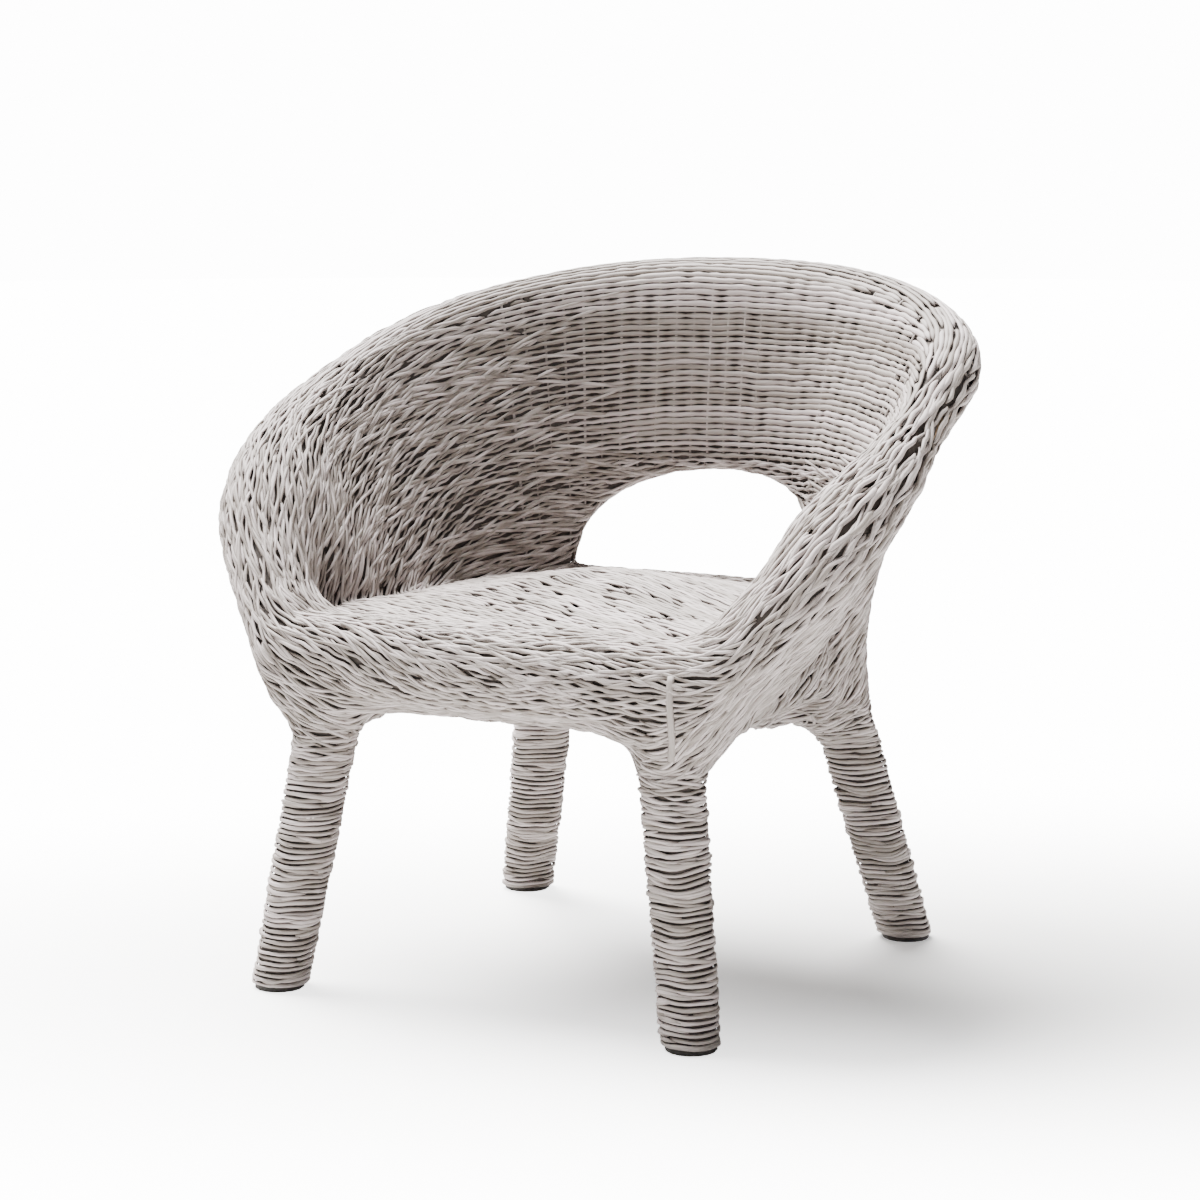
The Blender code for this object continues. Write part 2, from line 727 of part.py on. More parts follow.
# Deck: a crowned sheet in rings about the seat's middle, closed by a last ring round the centre
deck_rings = []
for under, shares in ((False, DECK_TOP_SHARES), (True, DECK_UNDER_SHARES)):
    for share in shares:
        ring = []
        for column in range(DECK_COLUMNS):
            angle = 2 * math.pi * column / DECK_COLUMNS
            point = at(angle, deck_radius(angle) * share, DECK_EDGE_Z)
            point.z += crown(point.x, point.y - SEAT_CENTRE_Y, DECK_CROWN)
            if under:
                point.z -= DECK_THICKNESS
            else:
                point.z += deck_rib(point.x, point.y - SEAT_CENTRE_Y, share)
            ring.append(point)
        deck_rings.append(ring)
add_object("deck_weave", deck_rings, material("deck_weave", CANE), True, False, True)

# Rolled front apron and rear roll
apron_start = ARM_END_ANGLE + 2 * FIT_GAP / RIM_FRONT_DEPTH
apron = []
for column in range(APRON_COLUMNS + 1):
    angle = mix(apron_start, 2 * math.pi - apron_start, column / APRON_COLUMNS)
    folded = min(angle, 2 * math.pi - angle)
    apron.append([at(angle, *p) for p in edge_section(folded, APRON_DEPTH, APRON_Z, APRON_RADIUS)])
add_object("apron_weave_front", apron, material("apron_weave_front", CANE), True, False, True)

rear_roll = []
for column in range(APRON_COLUMNS + 1):
    angle = mix(-REAR_ROLL_ANGLE, REAR_ROLL_ANGLE, column / APRON_COLUMNS)
    points = edge_section(abs(angle), REAR_ROLL_DEPTH, REAR_ROLL_Z, REAR_ROLL_RADIUS)
    rear_roll.append([at(angle, *p) for p in points])
add_object("apron_weave_rear", rear_roll, material("apron_weave_rear", CANE), True, False, True)

# Back and arms, in one sheet from the right front leg round to the left front leg
fall_end = ARCH_END_ANGLE + ARCH_FALL_ANGLE
half = [0.0]
for start, end, count in (
    (0.0, ARCH_END_ANGLE, ARCH_COLUMNS),
    (ARCH_END_ANGLE, fall_end, FALL_COLUMNS),
):
    half += [mix(start, end, step / count) for step in range(1, count + 1)]
half += [mix(fall_end, ARM_END_ANGLE, share) for share in ARM_COLUMN_SHARES]
shell = []
for angle in [-a for a in half[:0:-1]] + half:
    shell.append([at(angle, *p) for p in shell_section(abs(angle))])
add_object("back_weave", shell, material("back_weave", CANE), True, False, True)


# Binding strip on the apron, over the front leg
half_turn = STRIP_WIDTH / 2 / RIM_FRONT_DEPTH
strip_sections = []
for angle in (STRIP_ANGLE - half_turn, STRIP_ANGLE, STRIP_ANGLE + half_turn):
    strip_sections.append(edge_section(angle, APRON_DEPTH, APRON_Z, APRON_RADIUS))
strip_bottom = max(points[0][1] for points in strip_sections) + STRIP_FOOT_RISE
along = Vector((math.cos(STRIP_ANGLE), -math.sin(STRIP_ANGLE), 0)) * STRIP_WIDTH / 2
rings = []
for step in range(STRIP_STEPS + 1):
    height = strip_bottom + STRIP_LENGTH * step / STRIP_STEPS
    radius = max(max(crossings(points, height)) for points in strip_sections) + STRIP_FIT
    near = at(STRIP_ANGLE, radius, height)
    far = at(STRIP_ANGLE, radius + STRIP_THICKNESS, height)
    rings.append([near - along, near + along, far + along, far - along])
add_object("binding_strip", rings, material("binding_strip", CANE), True, False, True)

# Rim pole: along the rim, then down the outer side of each front post
lap_reach = post_radius(POST_TOP_Z) + FIT_GAP + RIM_POLE_RADIUS
half_path = [at(step * RIM_POLE_STEP, *rim(step * RIM_POLE_STEP)[:2]) for step in range(RIM_POLE_POINTS)]
for step in range(LAP_POINTS + 1):
    drop = RIM_LAP_LENGTH * step / LAP_POINTS
    lap = leg_axis("front_left", POST_TOP_Z - RIM_POLE_RADIUS - drop)
    half_path.append(lap + Vector((math.sin(RIM_LAP_ANGLE), math.cos(RIM_LAP_ANGLE), 0)) * lap_reach)
mirrored = [Vector((-p.x, p.y, p.z)) for p in half_path[:0:-1]]
rim_path = mirrored + half_path
tube("rim_pole", rim_path, RIM_POLE_RADIUS, POLE_SIDES, material("rim_pole", POLE))
rim_cutter = as_cutter(
    tube("rim_clearance", rim_path, RIM_POLE_RADIUS + COPE_GAP, POLE_SIDES, material("rim_cutter", DARK))
)

# Rear uprights, from the rear posts up to the rim
upright_cutters = []
for side, leg in ((1, "rear_left"), (-1, "rear_right")):
    angle, radius = leg_polar(leg, POST_TOP_Z)
    path = [at(side * angle, radius + UPRIGHT_OFFSET, POST_TOP_Z + FIT_GAP)]
    path.append(path[0] + Vector((0, 0, UPRIGHT_RISE)))
    for share in UPRIGHT_SHARES:
        path.append(at(side * angle, *wall_middle(angle, share)))
    path.append(at(side * angle, *rim(angle)[:2]))
    name = "rear_upright_" + leg.split("_")[1]
    upright = tube(name, path, UPRIGHT_RADIUS, POLE_SIDES, material(name, POLE))
    cut(upright, rim_cutter)
    cutter_paint = material(name + "_cutter", DARK)
    cutter = tube(name + "_clearance", path, UPRIGHT_RADIUS + COPE_GAP, POLE_SIDES, cutter_paint)
    upright_cutters.append(as_cutter(cutter))
    arch_end = path[2]

# Arch pole between the uprights
arch_path = []
for step in range(1 - ARCH_COLUMNS, ARCH_COLUMNS):
    angle = ARCH_END_ANGLE * step / ARCH_COLUMNS
    radius, height = arch(abs(angle))
    arch_path.append(at(angle, radius, height + ARCH_POLE_RADIUS))
arch_path = [Vector((arch_end.x, arch_end.y, arch_end.z))] + arch_path
arch_path.append(Vector((-arch_end.x, arch_end.y, arch_end.z)))
arch_pole = tube("arch_pole", arch_path, ARCH_POLE_RADIUS, POLE_SIDES, material("arch_pole", POLE))
for cutter in upright_cutters:
    cut(arch_pole, cutter)
arch_cutter = as_cutter(
    tube(
        "arch_clearance",
        arch_path,
        ARCH_POLE_RADIUS + COPE_GAP,
        POLE_SIDES,
        material("arch_cutter", DARK),
    )
)

# Stakes of the back, from the arch pole to the rim pole
for index in range(BACK_STAKES):
    angle = mix(-BACK_STAKE_ANGLE, BACK_STAKE_ANGLE, index / (BACK_STAKES - 1))
    folded = abs(angle)
    radius, height = arch(folded)
    path = [at(angle, radius, height + ARCH_POLE_RADIUS)]
    for share in BACK_STAKE_SHARES:
        path.append(at(angle, *wall_middle(folded, share)))
    path.append(at(angle, *rim(folded)[:2]))
    name = "back_stake_" + str(index + 1)
    stake = tube(name, path, STAKE_RADIUS, STAKE_SIDES, material(name, POLE))
    cut(stake, rim_cutter)
    cut(stake, arch_cutter)

# Stakes of the sides, from the side rails to the rim pole
for side, rail in ((1, "left"), (-1, "right")):
    for index in range(SIDE_STAKES):
        angle = mix(SIDE_STAKE_FIRST, SIDE_STAKE_LAST, index / (SIDE_STAKES - 1))
        turn_z = RAIL_Z + STAKE_RADIUS
        turn_radius = max(crossings(wall_insides(angle), turn_z)) - STAKE_TURN_IN
        turn_in = at(side * angle, turn_radius, turn_z)
        depth = turn_in.y - SEAT_CENTRE_Y
        path = [Vector((side * seat_side(depth), turn_in.y, RAIL_Z)), turn_in]
        path.append(at(side * angle, between_walls(angle, INNER_FOOT_Z), INNER_FOOT_Z))
        for share in SIDE_STAKE_SHARES:
            radius, height = inner_wall(angle, share)
            stand_off = min(STAKE_STAND_OFF, between_walls(angle, height) - radius)
            path.append(at(side * angle, radius + stand_off, height))
        path.append(at(side * angle, *rim(angle)[:2]))
        name = "side_stake_" + rail + "_" + str(index + 1)
        stake = tube(name, path, STAKE_RADIUS, STAKE_SIDES, material(name, POLE))
        cut(stake, rim_cutter)
        cut(stake, rail_cutters[rail])

print("rail height", round(RAIL_Z, 4), "post top", round(POST_TOP_Z, 4))
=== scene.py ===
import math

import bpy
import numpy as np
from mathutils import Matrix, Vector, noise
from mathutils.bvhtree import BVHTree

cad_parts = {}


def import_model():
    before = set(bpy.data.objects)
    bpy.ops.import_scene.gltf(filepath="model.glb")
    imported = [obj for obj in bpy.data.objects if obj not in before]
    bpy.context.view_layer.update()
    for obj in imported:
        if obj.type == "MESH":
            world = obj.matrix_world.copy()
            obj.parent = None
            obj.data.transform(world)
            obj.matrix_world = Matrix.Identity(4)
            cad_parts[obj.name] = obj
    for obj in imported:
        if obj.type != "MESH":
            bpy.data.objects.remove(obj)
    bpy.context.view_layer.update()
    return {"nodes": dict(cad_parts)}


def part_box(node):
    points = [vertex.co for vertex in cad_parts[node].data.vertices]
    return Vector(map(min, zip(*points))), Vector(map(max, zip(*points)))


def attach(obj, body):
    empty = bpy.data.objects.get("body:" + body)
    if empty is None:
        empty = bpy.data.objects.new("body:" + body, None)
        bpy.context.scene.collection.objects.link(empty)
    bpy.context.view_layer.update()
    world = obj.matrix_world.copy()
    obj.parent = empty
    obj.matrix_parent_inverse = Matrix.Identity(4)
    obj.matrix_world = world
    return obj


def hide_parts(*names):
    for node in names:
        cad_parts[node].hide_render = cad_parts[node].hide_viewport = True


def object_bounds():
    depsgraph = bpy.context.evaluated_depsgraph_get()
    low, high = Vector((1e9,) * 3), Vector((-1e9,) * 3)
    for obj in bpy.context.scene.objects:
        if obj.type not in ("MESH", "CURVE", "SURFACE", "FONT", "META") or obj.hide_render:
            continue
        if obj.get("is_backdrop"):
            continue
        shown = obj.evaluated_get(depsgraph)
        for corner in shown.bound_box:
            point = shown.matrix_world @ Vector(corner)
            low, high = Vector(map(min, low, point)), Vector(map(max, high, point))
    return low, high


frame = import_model()

# %% [markdown]
# # A wicker garden chair
# The chair is a frame of posts and bent poles under a skin of pale canes. The frame comes in as it was
# modelled. This lesson makes what a plain solid can't show: thousands of thin canes that follow the
# body, dip under each other and leave dark gaps. A bump in the material could draw them, but their
# shadows and their ragged outline need real meshes. First, clear the selection, because operators act
# on whatever is selected.

bpy.ops.object.select_all(action="DESELECT")
chance = np.random.default_rng(11)

# %% [markdown]
# ## The form under the canes
# Wicker is woven over a form, so the canes need one smooth surface to lie on. The plain solids are
# separate skins with open seams. They could be joined and patched, but it is cleaner to loft the same
# outlines as filled bodies, and to melt those into one surface. Plan positions are polar about the
# middle of the seat: an angle of zero points to the back, and positive angles turn towards the
# sitter's left. A few helpers ease from one size to the next and turn polar places into points.

# %% Helpers for curves
SEAT_Y = -0.0461


def ease(value):
    value = min(max(value, 0.0), 1.0)
    return value * value * (3 - 2 * value)


def mix(start, end, share):
    return start + (end - start) * share


def past(angle, start, span):
    """Rises from 0 at a start angle to 1 one span later, both in degrees."""
    return ease((angle - math.radians(start)) / math.radians(span))


def before(angle, end, span):
    """Falls from 1 to 0 over the span that stops at an end angle, both in degrees."""
    return ease((math.radians(end) - angle) / math.radians(span))


def oval(angle, half_width, back, front, square):
    depth = back if math.cos(angle) >= 0 else front
    across = abs(math.sin(angle) / half_width) ** square
    along = abs(math.cos(angle) / depth) ** square
    return (across + along) ** (-1 / square)


def at(angle, radius, height):
    return Vector((radius * math.sin(angle), SEAT_Y + radius * math.cos(angle), height))


print("middle of the seat at", tuple(at(0.0, 0.0, 0.0)))

# %% [markdown]
# The seat's edge is an oval that is fuller at the front corners. The rim is a larger oval that falls from
# the back to the arms' ends, with a roll that swells over the arms, and the arm at the sitter's left is
# slimmer, as on the real chair. Both could be drawn as curves. As formulas they can be asked for a radius
# at any angle, which the lofts, the directions and the canes all do.

# %% Plan curves of the seat and rim
DECK_HALF_WIDTH, DECK_DEPTH, DECK_SQUARE = 0.235, 0.212, 2.8
FRONT_HALF_WIDTH, FRONT_CORNER, FRONT_DEPTH, FRONT_SQUARE = 0.240, 0.285, 0.225, 4.5
RIM_HALF_WIDTH, RIM_BACK_DEPTH, RIM_FRONT_DEPTH, RIM_SQUARE = 0.379, 0.350, 0.305, 2.15
RIM_BACK_Z, RIM_END_Z, RIM_DROP_POWER = 0.737, 0.360, 2.3
BACK_ROLL, ARM_ROLL = 0.038, 0.060
ARM_END = math.radians(137)


def deck_edge(angle):
    """Radius of the seat's edge, fuller at the front corners than at the back."""
    turn = abs(angle)
    corner = mix(FRONT_HALF_WIDTH, FRONT_CORNER, past(turn, 114, 10) * before(turn, 138, 12))
    plain = oval(angle, DECK_HALF_WIDTH, DECK_DEPTH, DECK_DEPTH, DECK_SQUARE)
    full = oval(angle, corner, DECK_DEPTH, FRONT_DEPTH, FRONT_SQUARE)
    return mix(plain, full, past(turn, 75, 35))


def rim(angle):
    """Plan radius, height and roll radius of the rim. The arm at the sitter's left is slimmer."""
    slim = past(angle, 58, 26) * before(angle, 126, 24)
    angle = min(abs(angle), ARM_END)
    height = mix(RIM_BACK_Z, RIM_END_Z, (angle / ARM_END) ** RIM_DROP_POWER)
    swell = past(angle, 78, 34)
    end_share = max(0.0, (angle - math.radians(112)) / math.radians(25))
    falling = past(angle, 112, 12) * before(angle, 137, 8)
    radius = oval(angle, RIM_HALF_WIDTH, RIM_BACK_DEPTH, RIM_FRONT_DEPTH, RIM_SQUARE)
    radius = radius - 0.016 * slim + 0.005 * falling
    roll = mix(BACK_ROLL, ARM_ROLL, swell) - 0.015 * end_share - 0.012 * slim - 0.010 * falling
    return radius, height, roll


print("rim at the back", [round(v, 3) for v in rim(0)])
print("rim at the arm's end", [round(v, 3) for v in rim(ARM_END)])

# %% [markdown]
# The legs taper upwards from the feet to the seat's corners, and lean inwards as they rise. They could be
# measured on the posts of the frame. A formula is shorter, and the lower edge of the weave and the
# windings need a leg's middle and radius at many heights.

# %% Lines of the legs
FRONT_TOP_X, FRONT_TOP_Y = 0.198, 0.222
REAR_TOP_X, REAR_TOP_Y = 0.171, 0.192
LEGS = {
    "front_right": (-1, -1, FRONT_TOP_X, FRONT_TOP_Y),
    "front_left": (1, -1, FRONT_TOP_X, FRONT_TOP_Y),
    "rear_right": (-1, 1, REAR_TOP_X, REAR_TOP_Y),
    "rear_left": (1, 1, REAR_TOP_X, REAR_TOP_Y),
}
FOOT_X, FOOT_Y, LEG_TOP_Z = 0.255, 0.269, 0.3788
POST_FOOT_RADIUS, POST_TOP_RADIUS, POST_TOP_Z = 0.0245, 0.0305, 0.3928
WINDING = 0.006


def leg_middle(leg, height):
    side, end, top_x, top_y = LEGS[leg]
    share = height / LEG_TOP_Z
    return Vector((side * mix(FOOT_X, top_x, share), SEAT_Y + end * mix(FOOT_Y, top_y, share), height))


def leg_radius(height):
    return mix(POST_FOOT_RADIUS, POST_TOP_RADIUS, height / POST_TOP_Z) + WINDING


def leg_distance(point):
    return min((Vector((point.x, point.y)) - leg_middle(leg, point.z).xy).length for leg in LEGS)


print("leg radius at the floor", round(leg_radius(0), 4), "and at the seat", round(leg_radius(LEG_TOP_Z), 4))

# %% [markdown]
# The weave's lower edge is tucked in between the legs and runs out round each leg in a lobe. One closed
# curve with changing height gives it, so that skirt and legs can't drift apart.

# %% Lower edge over the legs
SIDE_SKIRT_Z, FRONT_SKIRT_Z, REAR_SKIRT_Z = 0.280, 0.312, 0.305
SIDE_SKIRT_REAR_Z, SIDE_SKIRT_FRONT_Z = 0.266, 0.288
SKIRT_TUCK, SKIRT_SQUARE = 0.006, 12
SKIRT_CLIMB = math.radians(12)
LOBE = {"front_left": 0.0370, "rear_left": 0.0350}
LOBE_WIDTH = 1.35


def leg_polar(leg):
    """Plan angle and radius of a leg at the height of the skirt."""
    p = leg_middle(leg, SIDE_SKIRT_Z)
    return math.atan2(abs(p.x), p.y - SEAT_Y), math.hypot(p.x, p.y - SEAT_Y)


def lobe(angle, leg, tucked):
    """Radius of the lower edge where it runs out round a leg."""
    leg_angle, leg_reach = leg_polar(leg)
    off = abs(angle - leg_angle)
    across = leg_reach * math.sin(off) / (LOBE[leg] * LOBE_WIDTH)
    round_leg = leg_reach * math.cos(off) + LOBE[leg] * max(0.0, 1 - across * across)
    return mix(tucked, round_leg, before(off, 18, 10))


def skirt(angle):
    """Radius and height of the lower edge: tucked in between the legs, outside them at the legs."""
    rear, front = leg_polar("rear_left")[0], leg_polar("front_left")[0]
    side = mix(REAR_TOP_X, FRONT_TOP_X, ease((angle - rear) / (front - rear)))
    radius = oval(angle, side, REAR_TOP_Y, FRONT_TOP_Y, SKIRT_SQUARE) - SKIRT_TUCK
    radius = lobe(angle, "front_left", lobe(angle, "rear_left", radius))
    height = mix(SIDE_SKIRT_REAR_Z, SIDE_SKIRT_FRONT_Z, past(angle, 50, 50))
    height = mix(REAR_SKIRT_Z, height, ease((angle - rear) / SKIRT_CLIMB + 0.4))
    return radius, mix(height, FRONT_SKIRT_Z, ease((angle - front) / SKIRT_CLIMB + 0.3))


print("lower edge at the side", [round(v, 3) for v in skirt(math.radians(90))])

# %% [markdown]
# A section of the wall, at any angle, is a roll with two walls that leave it as tangents: the outer one
# down to the skirt over the legs, the inner one down to the seat. Drawing each section by hand would
# also work, but would take a hundred drawings; here one function bends the same few curves.

# %% A wall's section
INNER_LEAN, INNER_RISE = 0.35, 0.45
CLEAR_OF_ROLL = 1.08


def tangent(control, centre, radius, side):
    """A control point kept clear of the roll, and where its tangent touches the roll."""
    away = Vector(control) - Vector(centre)
    away *= max(1.0, radius * CLEAR_OF_ROLL / away.length)
    turn = math.atan2(away.y, away.x) + side * math.acos(min(radius / away.length, 0.95))
    return Vector(centre) + away, turn


def curve(first, control, last, count):
    for step in range(count):
        share = step / count
        yield first * (1 - share) ** 2 + control * 2 * share * (1 - share) + last * share**2


def wall(outer, inner, centre, radius, belly, rise, count=20):
    """Section from the outer foot over the roll to the inner foot, then under the seat to close it."""
    outer, inner, centre = Vector(outer), Vector(inner), Vector(centre)
    inner_top = max(centre.x - radius, inner.x)
    low = (mix(outer.x, centre.x + radius, belly), mix(outer.y, centre.y, rise))
    high = (mix(inner.x, inner_top, INNER_LEAN), mix(inner.y, centre.y + radius, INNER_RISE))
    outer_control, first = tangent(low, centre, radius, 1)
    inner_control, last = tangent(high, centre, radius, -1)
    while last < first:
        last += 2 * math.pi
    roll = [centre + Vector((math.cos(t), math.sin(t))) * radius for t in np.linspace(first, last, count)]
    points = list(curve(outer, outer_control, roll[0], count)) + roll
    points += list(curve(inner, inner_control, roll[-1], count))[::-1]
    points.append(Vector((min(inner.x, outer.x) - 0.02, outer.y)) if inner.y - outer.y > 0.01 else inner)
    return points


print("a section's curves keep", round((CLEAR_OF_ROLL - 1) * 100), "% clear of the roll")

# %% [markdown]
# What changes round the chair is where the walls end and how far they belly out. At the back both walls
# end at the arch, just beside the arch the outer one is drawn in to a waist, and over the arms it is
# fullest. The straight rolls at the seat's front and rear use the same section.

# %% Sections of the back, the arms and the seat's rolls
ARCH_END = math.radians(36)
ARCH_TOP_Z, ARCH_END_Z = 0.532, 0.424
ARCH_DEPTH, ARCH_END_DEPTH, ARCH_HALF_WALL = 0.310, 0.284, 0.017
DECK_FOOT_Z = 0.408
BACK_BELLY, ARM_BELLY, WAIST_BELLY, ROLL_BELLY = 0.32, 0.62, -0.35, 0.45
BELLY_RISE, WAIST_RISE = 0.33, 0.36


def shell_section(angle):
    radius, height, roll = rim(angle)
    angle = abs(angle)
    share = min(angle / ARCH_END, 1.0)
    arch_z = mix(ARCH_END_Z, ARCH_TOP_Z, math.sqrt(1 - share * share))
    arch_radius = mix(ARCH_DEPTH, ARCH_END_DEPTH, share * share)
    closed = ease((angle - ARCH_END) / math.radians(4))
    blended = ease((angle - ARCH_END) / math.radians(18) + 0.5)
    skirt_radius, skirt_z = skirt(angle)
    outer = (mix(arch_radius + ARCH_HALF_WALL, skirt_radius, closed), mix(arch_z, skirt_z, closed))
    inner = (mix(arch_radius - ARCH_HALF_WALL, deck_edge(angle), blended), mix(arch_z, DECK_FOOT_Z, closed))
    belly = mix(BACK_BELLY, ARM_BELLY, past(angle, 70, 45))
    waist = past(angle, 35, 8) * before(angle, 58, 14)
    belly, rise = mix(belly, WAIST_BELLY, waist), mix(BELLY_RISE, WAIST_RISE, waist)
    return wall(outer, inner, (radius, height), roll, belly, rise)


def roll_section(angle, depth, height, roll):
    """Section of a straight roll at the front or rear edge of the seat."""
    turn = abs(math.cos(angle))
    skirt_radius, skirt_z = skirt(abs(angle) if abs(angle) < math.pi else 2 * math.pi - abs(angle))
    foot, seat_foot = (skirt_radius * turn, skirt_z), (deck_edge(angle) * turn, DECK_FOOT_Z)
    points = wall(foot, seat_foot, (depth, height), roll, ROLL_BELLY, BELLY_RISE)
    return [Vector((p.x / turn, p.y)) for p in points]


print("wall section at the side has", len(shell_section(math.radians(90))), "points")

# %% [markdown]
# The woven body has a back with two arms, a front and a rear roll. Each is a loft: one ring of points per
# angle, neighbours joined by quads, ends closed. A curve with a bevel could sweep one section along the
# rim, but here the section changes all the way, so the rings are set one by one.

# %% Lofted bodies
FRONT_ROLL = (0.240, 0.369, 0.043)
REAR_ROLL = (0.224, 0.375, 0.037)
REAR_ROLL_END = 37


def loft(name, rings):
    count = len(rings[0])
    quads = []
    for row in range(len(rings) - 1):
        for place in range(count):
            after = (place + 1) % count
            first = row * count
            quads.append((first + place, first + count + place, first + count + after, first + after))
    quads += [tuple(range(count)), tuple(range((len(rings) - 1) * count, len(rings) * count))[::-1]]
    mesh = bpy.data.meshes.new(name)
    mesh.from_pydata([p for ring in rings for p in ring], [], quads)
    made = bpy.data.objects.new(name, mesh)
    bpy.context.collection.objects.link(made)
    return made


def swept(name, angles, section):
    return loft(name, [[at(a, p.x, p.y) for p in section(a)] for a in angles])


back_angles = np.radians(np.arange(-137, 137.1, 1.5))
front_angles = np.linspace(ARM_END, 2 * math.pi - ARM_END, 40)
rear_angles = np.radians(np.arange(-REAR_ROLL_END, REAR_ROLL_END + 0.1, 2))
bodies = [
    swept("form_back", back_angles, shell_section),
    swept("form_front", front_angles, lambda a: roll_section(a, *FRONT_ROLL)),
    swept("form_rear", rear_angles, lambda a: roll_section(a, *REAR_ROLL)),
]
print("lofts:", [(body.name, len(body.data.vertices)) for body in bodies])

# %% [markdown]
# The seat is a low crown with a soft edge. A scaled sphere would be too round at the rim, so it is lofted
# from rings that grow from the middle to the edge, with one more ring below to give it depth.

# %% Seat
DECK_Z, DECK_CROWN, SEAT_SPAN = 0.412, 0.026, 0.414
SEAT_UNDER_Z, SEAT_LAP = 0.312, 0.002
RING_SHARES = (0.05, 0.2, 0.35, 0.5, 0.65, 0.8, 0.88, 0.95, 1.0)


def crown(x, y):
    """Rise of the seat above its edge."""
    side = min(abs(x) / mix(FRONT_TOP_X, REAR_TOP_X, (y + FRONT_TOP_Y) / SEAT_SPAN), 1.0)
    along = min(abs(y) / (FRONT_TOP_Y if y < 0 else REAR_TOP_Y), 1.0)
    return DECK_CROWN * (1 - side * side) ** 2 * (1 - along * along) ** 2


rings = []
for share in RING_SHARES:
    ring = []
    for a in np.linspace(-math.pi, math.pi, 72, False):
        p = at(a, (deck_edge(a) + SEAT_LAP) * share, DECK_Z)
        soft = before(abs(a), 152, 22) * (0.006 - 0.016 * share**8)
        ring.append(Vector((p.x, p.y, DECK_Z + crown(p.x, p.y - SEAT_Y) + soft)))
    rings.append(ring)
rings.append([Vector((p.x, p.y, SEAT_UNDER_Z)) for p in rings[-1]])
bodies.append(loft("form_seat", rings))
print("seat rises", DECK_CROWN * 1000, "mm to its crown")

# %% [markdown]
# A leg starts as the cone operator's upright cone. It could be turned into place, but its feet are level
# cuts, so each ring is slid sideways instead.

# %% Legs
LEG_LOW, LEG_HIGH = 0.004, 0.36
for leg in LEGS:
    bpy.ops.mesh.primitive_cone_add(
        vertices=40, radius1=leg_radius(LEG_LOW), radius2=leg_radius(LEG_HIGH),
        depth=LEG_HIGH - LEG_LOW, location=(0, 0, (LEG_LOW + LEG_HIGH) / 2),
    )
    made = bpy.context.object
    bpy.ops.object.transform_apply(location=True)
    for vertex in made.data.vertices:
        middle = leg_middle(leg, vertex.co.z)
        vertex.co.x += middle.x
        vertex.co.y += middle.y
    bodies.append(made)
print("legs:", len(LEGS))

# %% [markdown]
# Where a leg meets the body, the weave spreads in a soft fillet: wide under the seat, slim on the outside
# of the chair. A bevel can't round bodies that only overlap, so each fillet is a lofted collar of its own
# that the remesh will melt in.

# %% Fillets of the legs
FILLET = {"front_right": 0.036, "front_left": 0.058, "rear_right": 0.040, "rear_left": 0.044}
SLIM_FILLET = 0.004
FLARE_LOW, FLARE_HIGH = 0.205, 0.325


def flare_top(leg, way):
    """Height at which a fillet reaches the body, in a direction from its leg."""
    side, end = LEGS[leg][:2]
    if end < 0:
        return mix(SIDE_SKIRT_FRONT_Z, FRONT_SKIRT_Z, ease(-side * way.x)) + 0.004
    return mix(REAR_SKIRT_Z, SIDE_SKIRT_REAR_Z - 0.006, ease((0.15 - way.y) / 0.5)) + 0.004


def flare(leg):
    outward = (leg_middle(leg, SIDE_SKIRT_Z).xy - Vector((0, SEAT_Y))).normalized()
    rings = []
    for z in np.linspace(FLARE_LOW, FLARE_HIGH, 31):
        ring = []
        middle = leg_middle(leg, z)
        for turn in np.linspace(0, 2 * math.pi, 48, False):
            way = Vector((math.cos(turn), math.sin(turn)))
            size = mix(FILLET[leg], SLIM_FILLET, ease((way.dot(outward) + 0.74) / 0.60))
            share = min(max((z - flare_top(leg, way) + size) / size, 0.0), 1.0)
            radius = leg_radius(z) - 0.001 + size * (1 - math.sqrt(1 - share * share))
            ring.append(Vector((middle.x + way.x * radius, middle.y + way.y * radius, z)))
        rings.append(ring)
    return loft("form_flare_" + leg, rings)


bodies += [flare(leg) for leg in LEGS]
print("bodies to melt together:", len(bodies))

# %% [markdown]
# A voxel remesh turns overlapping closed bodies into one skin; boolean unions would keep hard creases.
# Smoothing then rounds it: a little all over, and much more, through a vertex group, where the legs run
# into the body and at the ends of the rear roll.

# %% Melt and smooth the form
VOXEL = 0.005
FILLET_LOW, FILLET_HIGH = 0.215, 0.345
ROLL_LOW, ROLL_HIGH, ROLL_REACH = 0.27, 0.40, 6

bpy.ops.object.select_all(action="DESELECT")
for body in bodies:
    body.select_set(True)
form = bodies[0]
bpy.context.view_layer.objects.active = form
bpy.ops.object.join()
form.name = "form"
step = form.modifiers.new("melt", "REMESH")
step.mode = "VOXEL"
step.voxel_size = VOXEL
bpy.ops.object.modifier_apply(modifier=step.name)

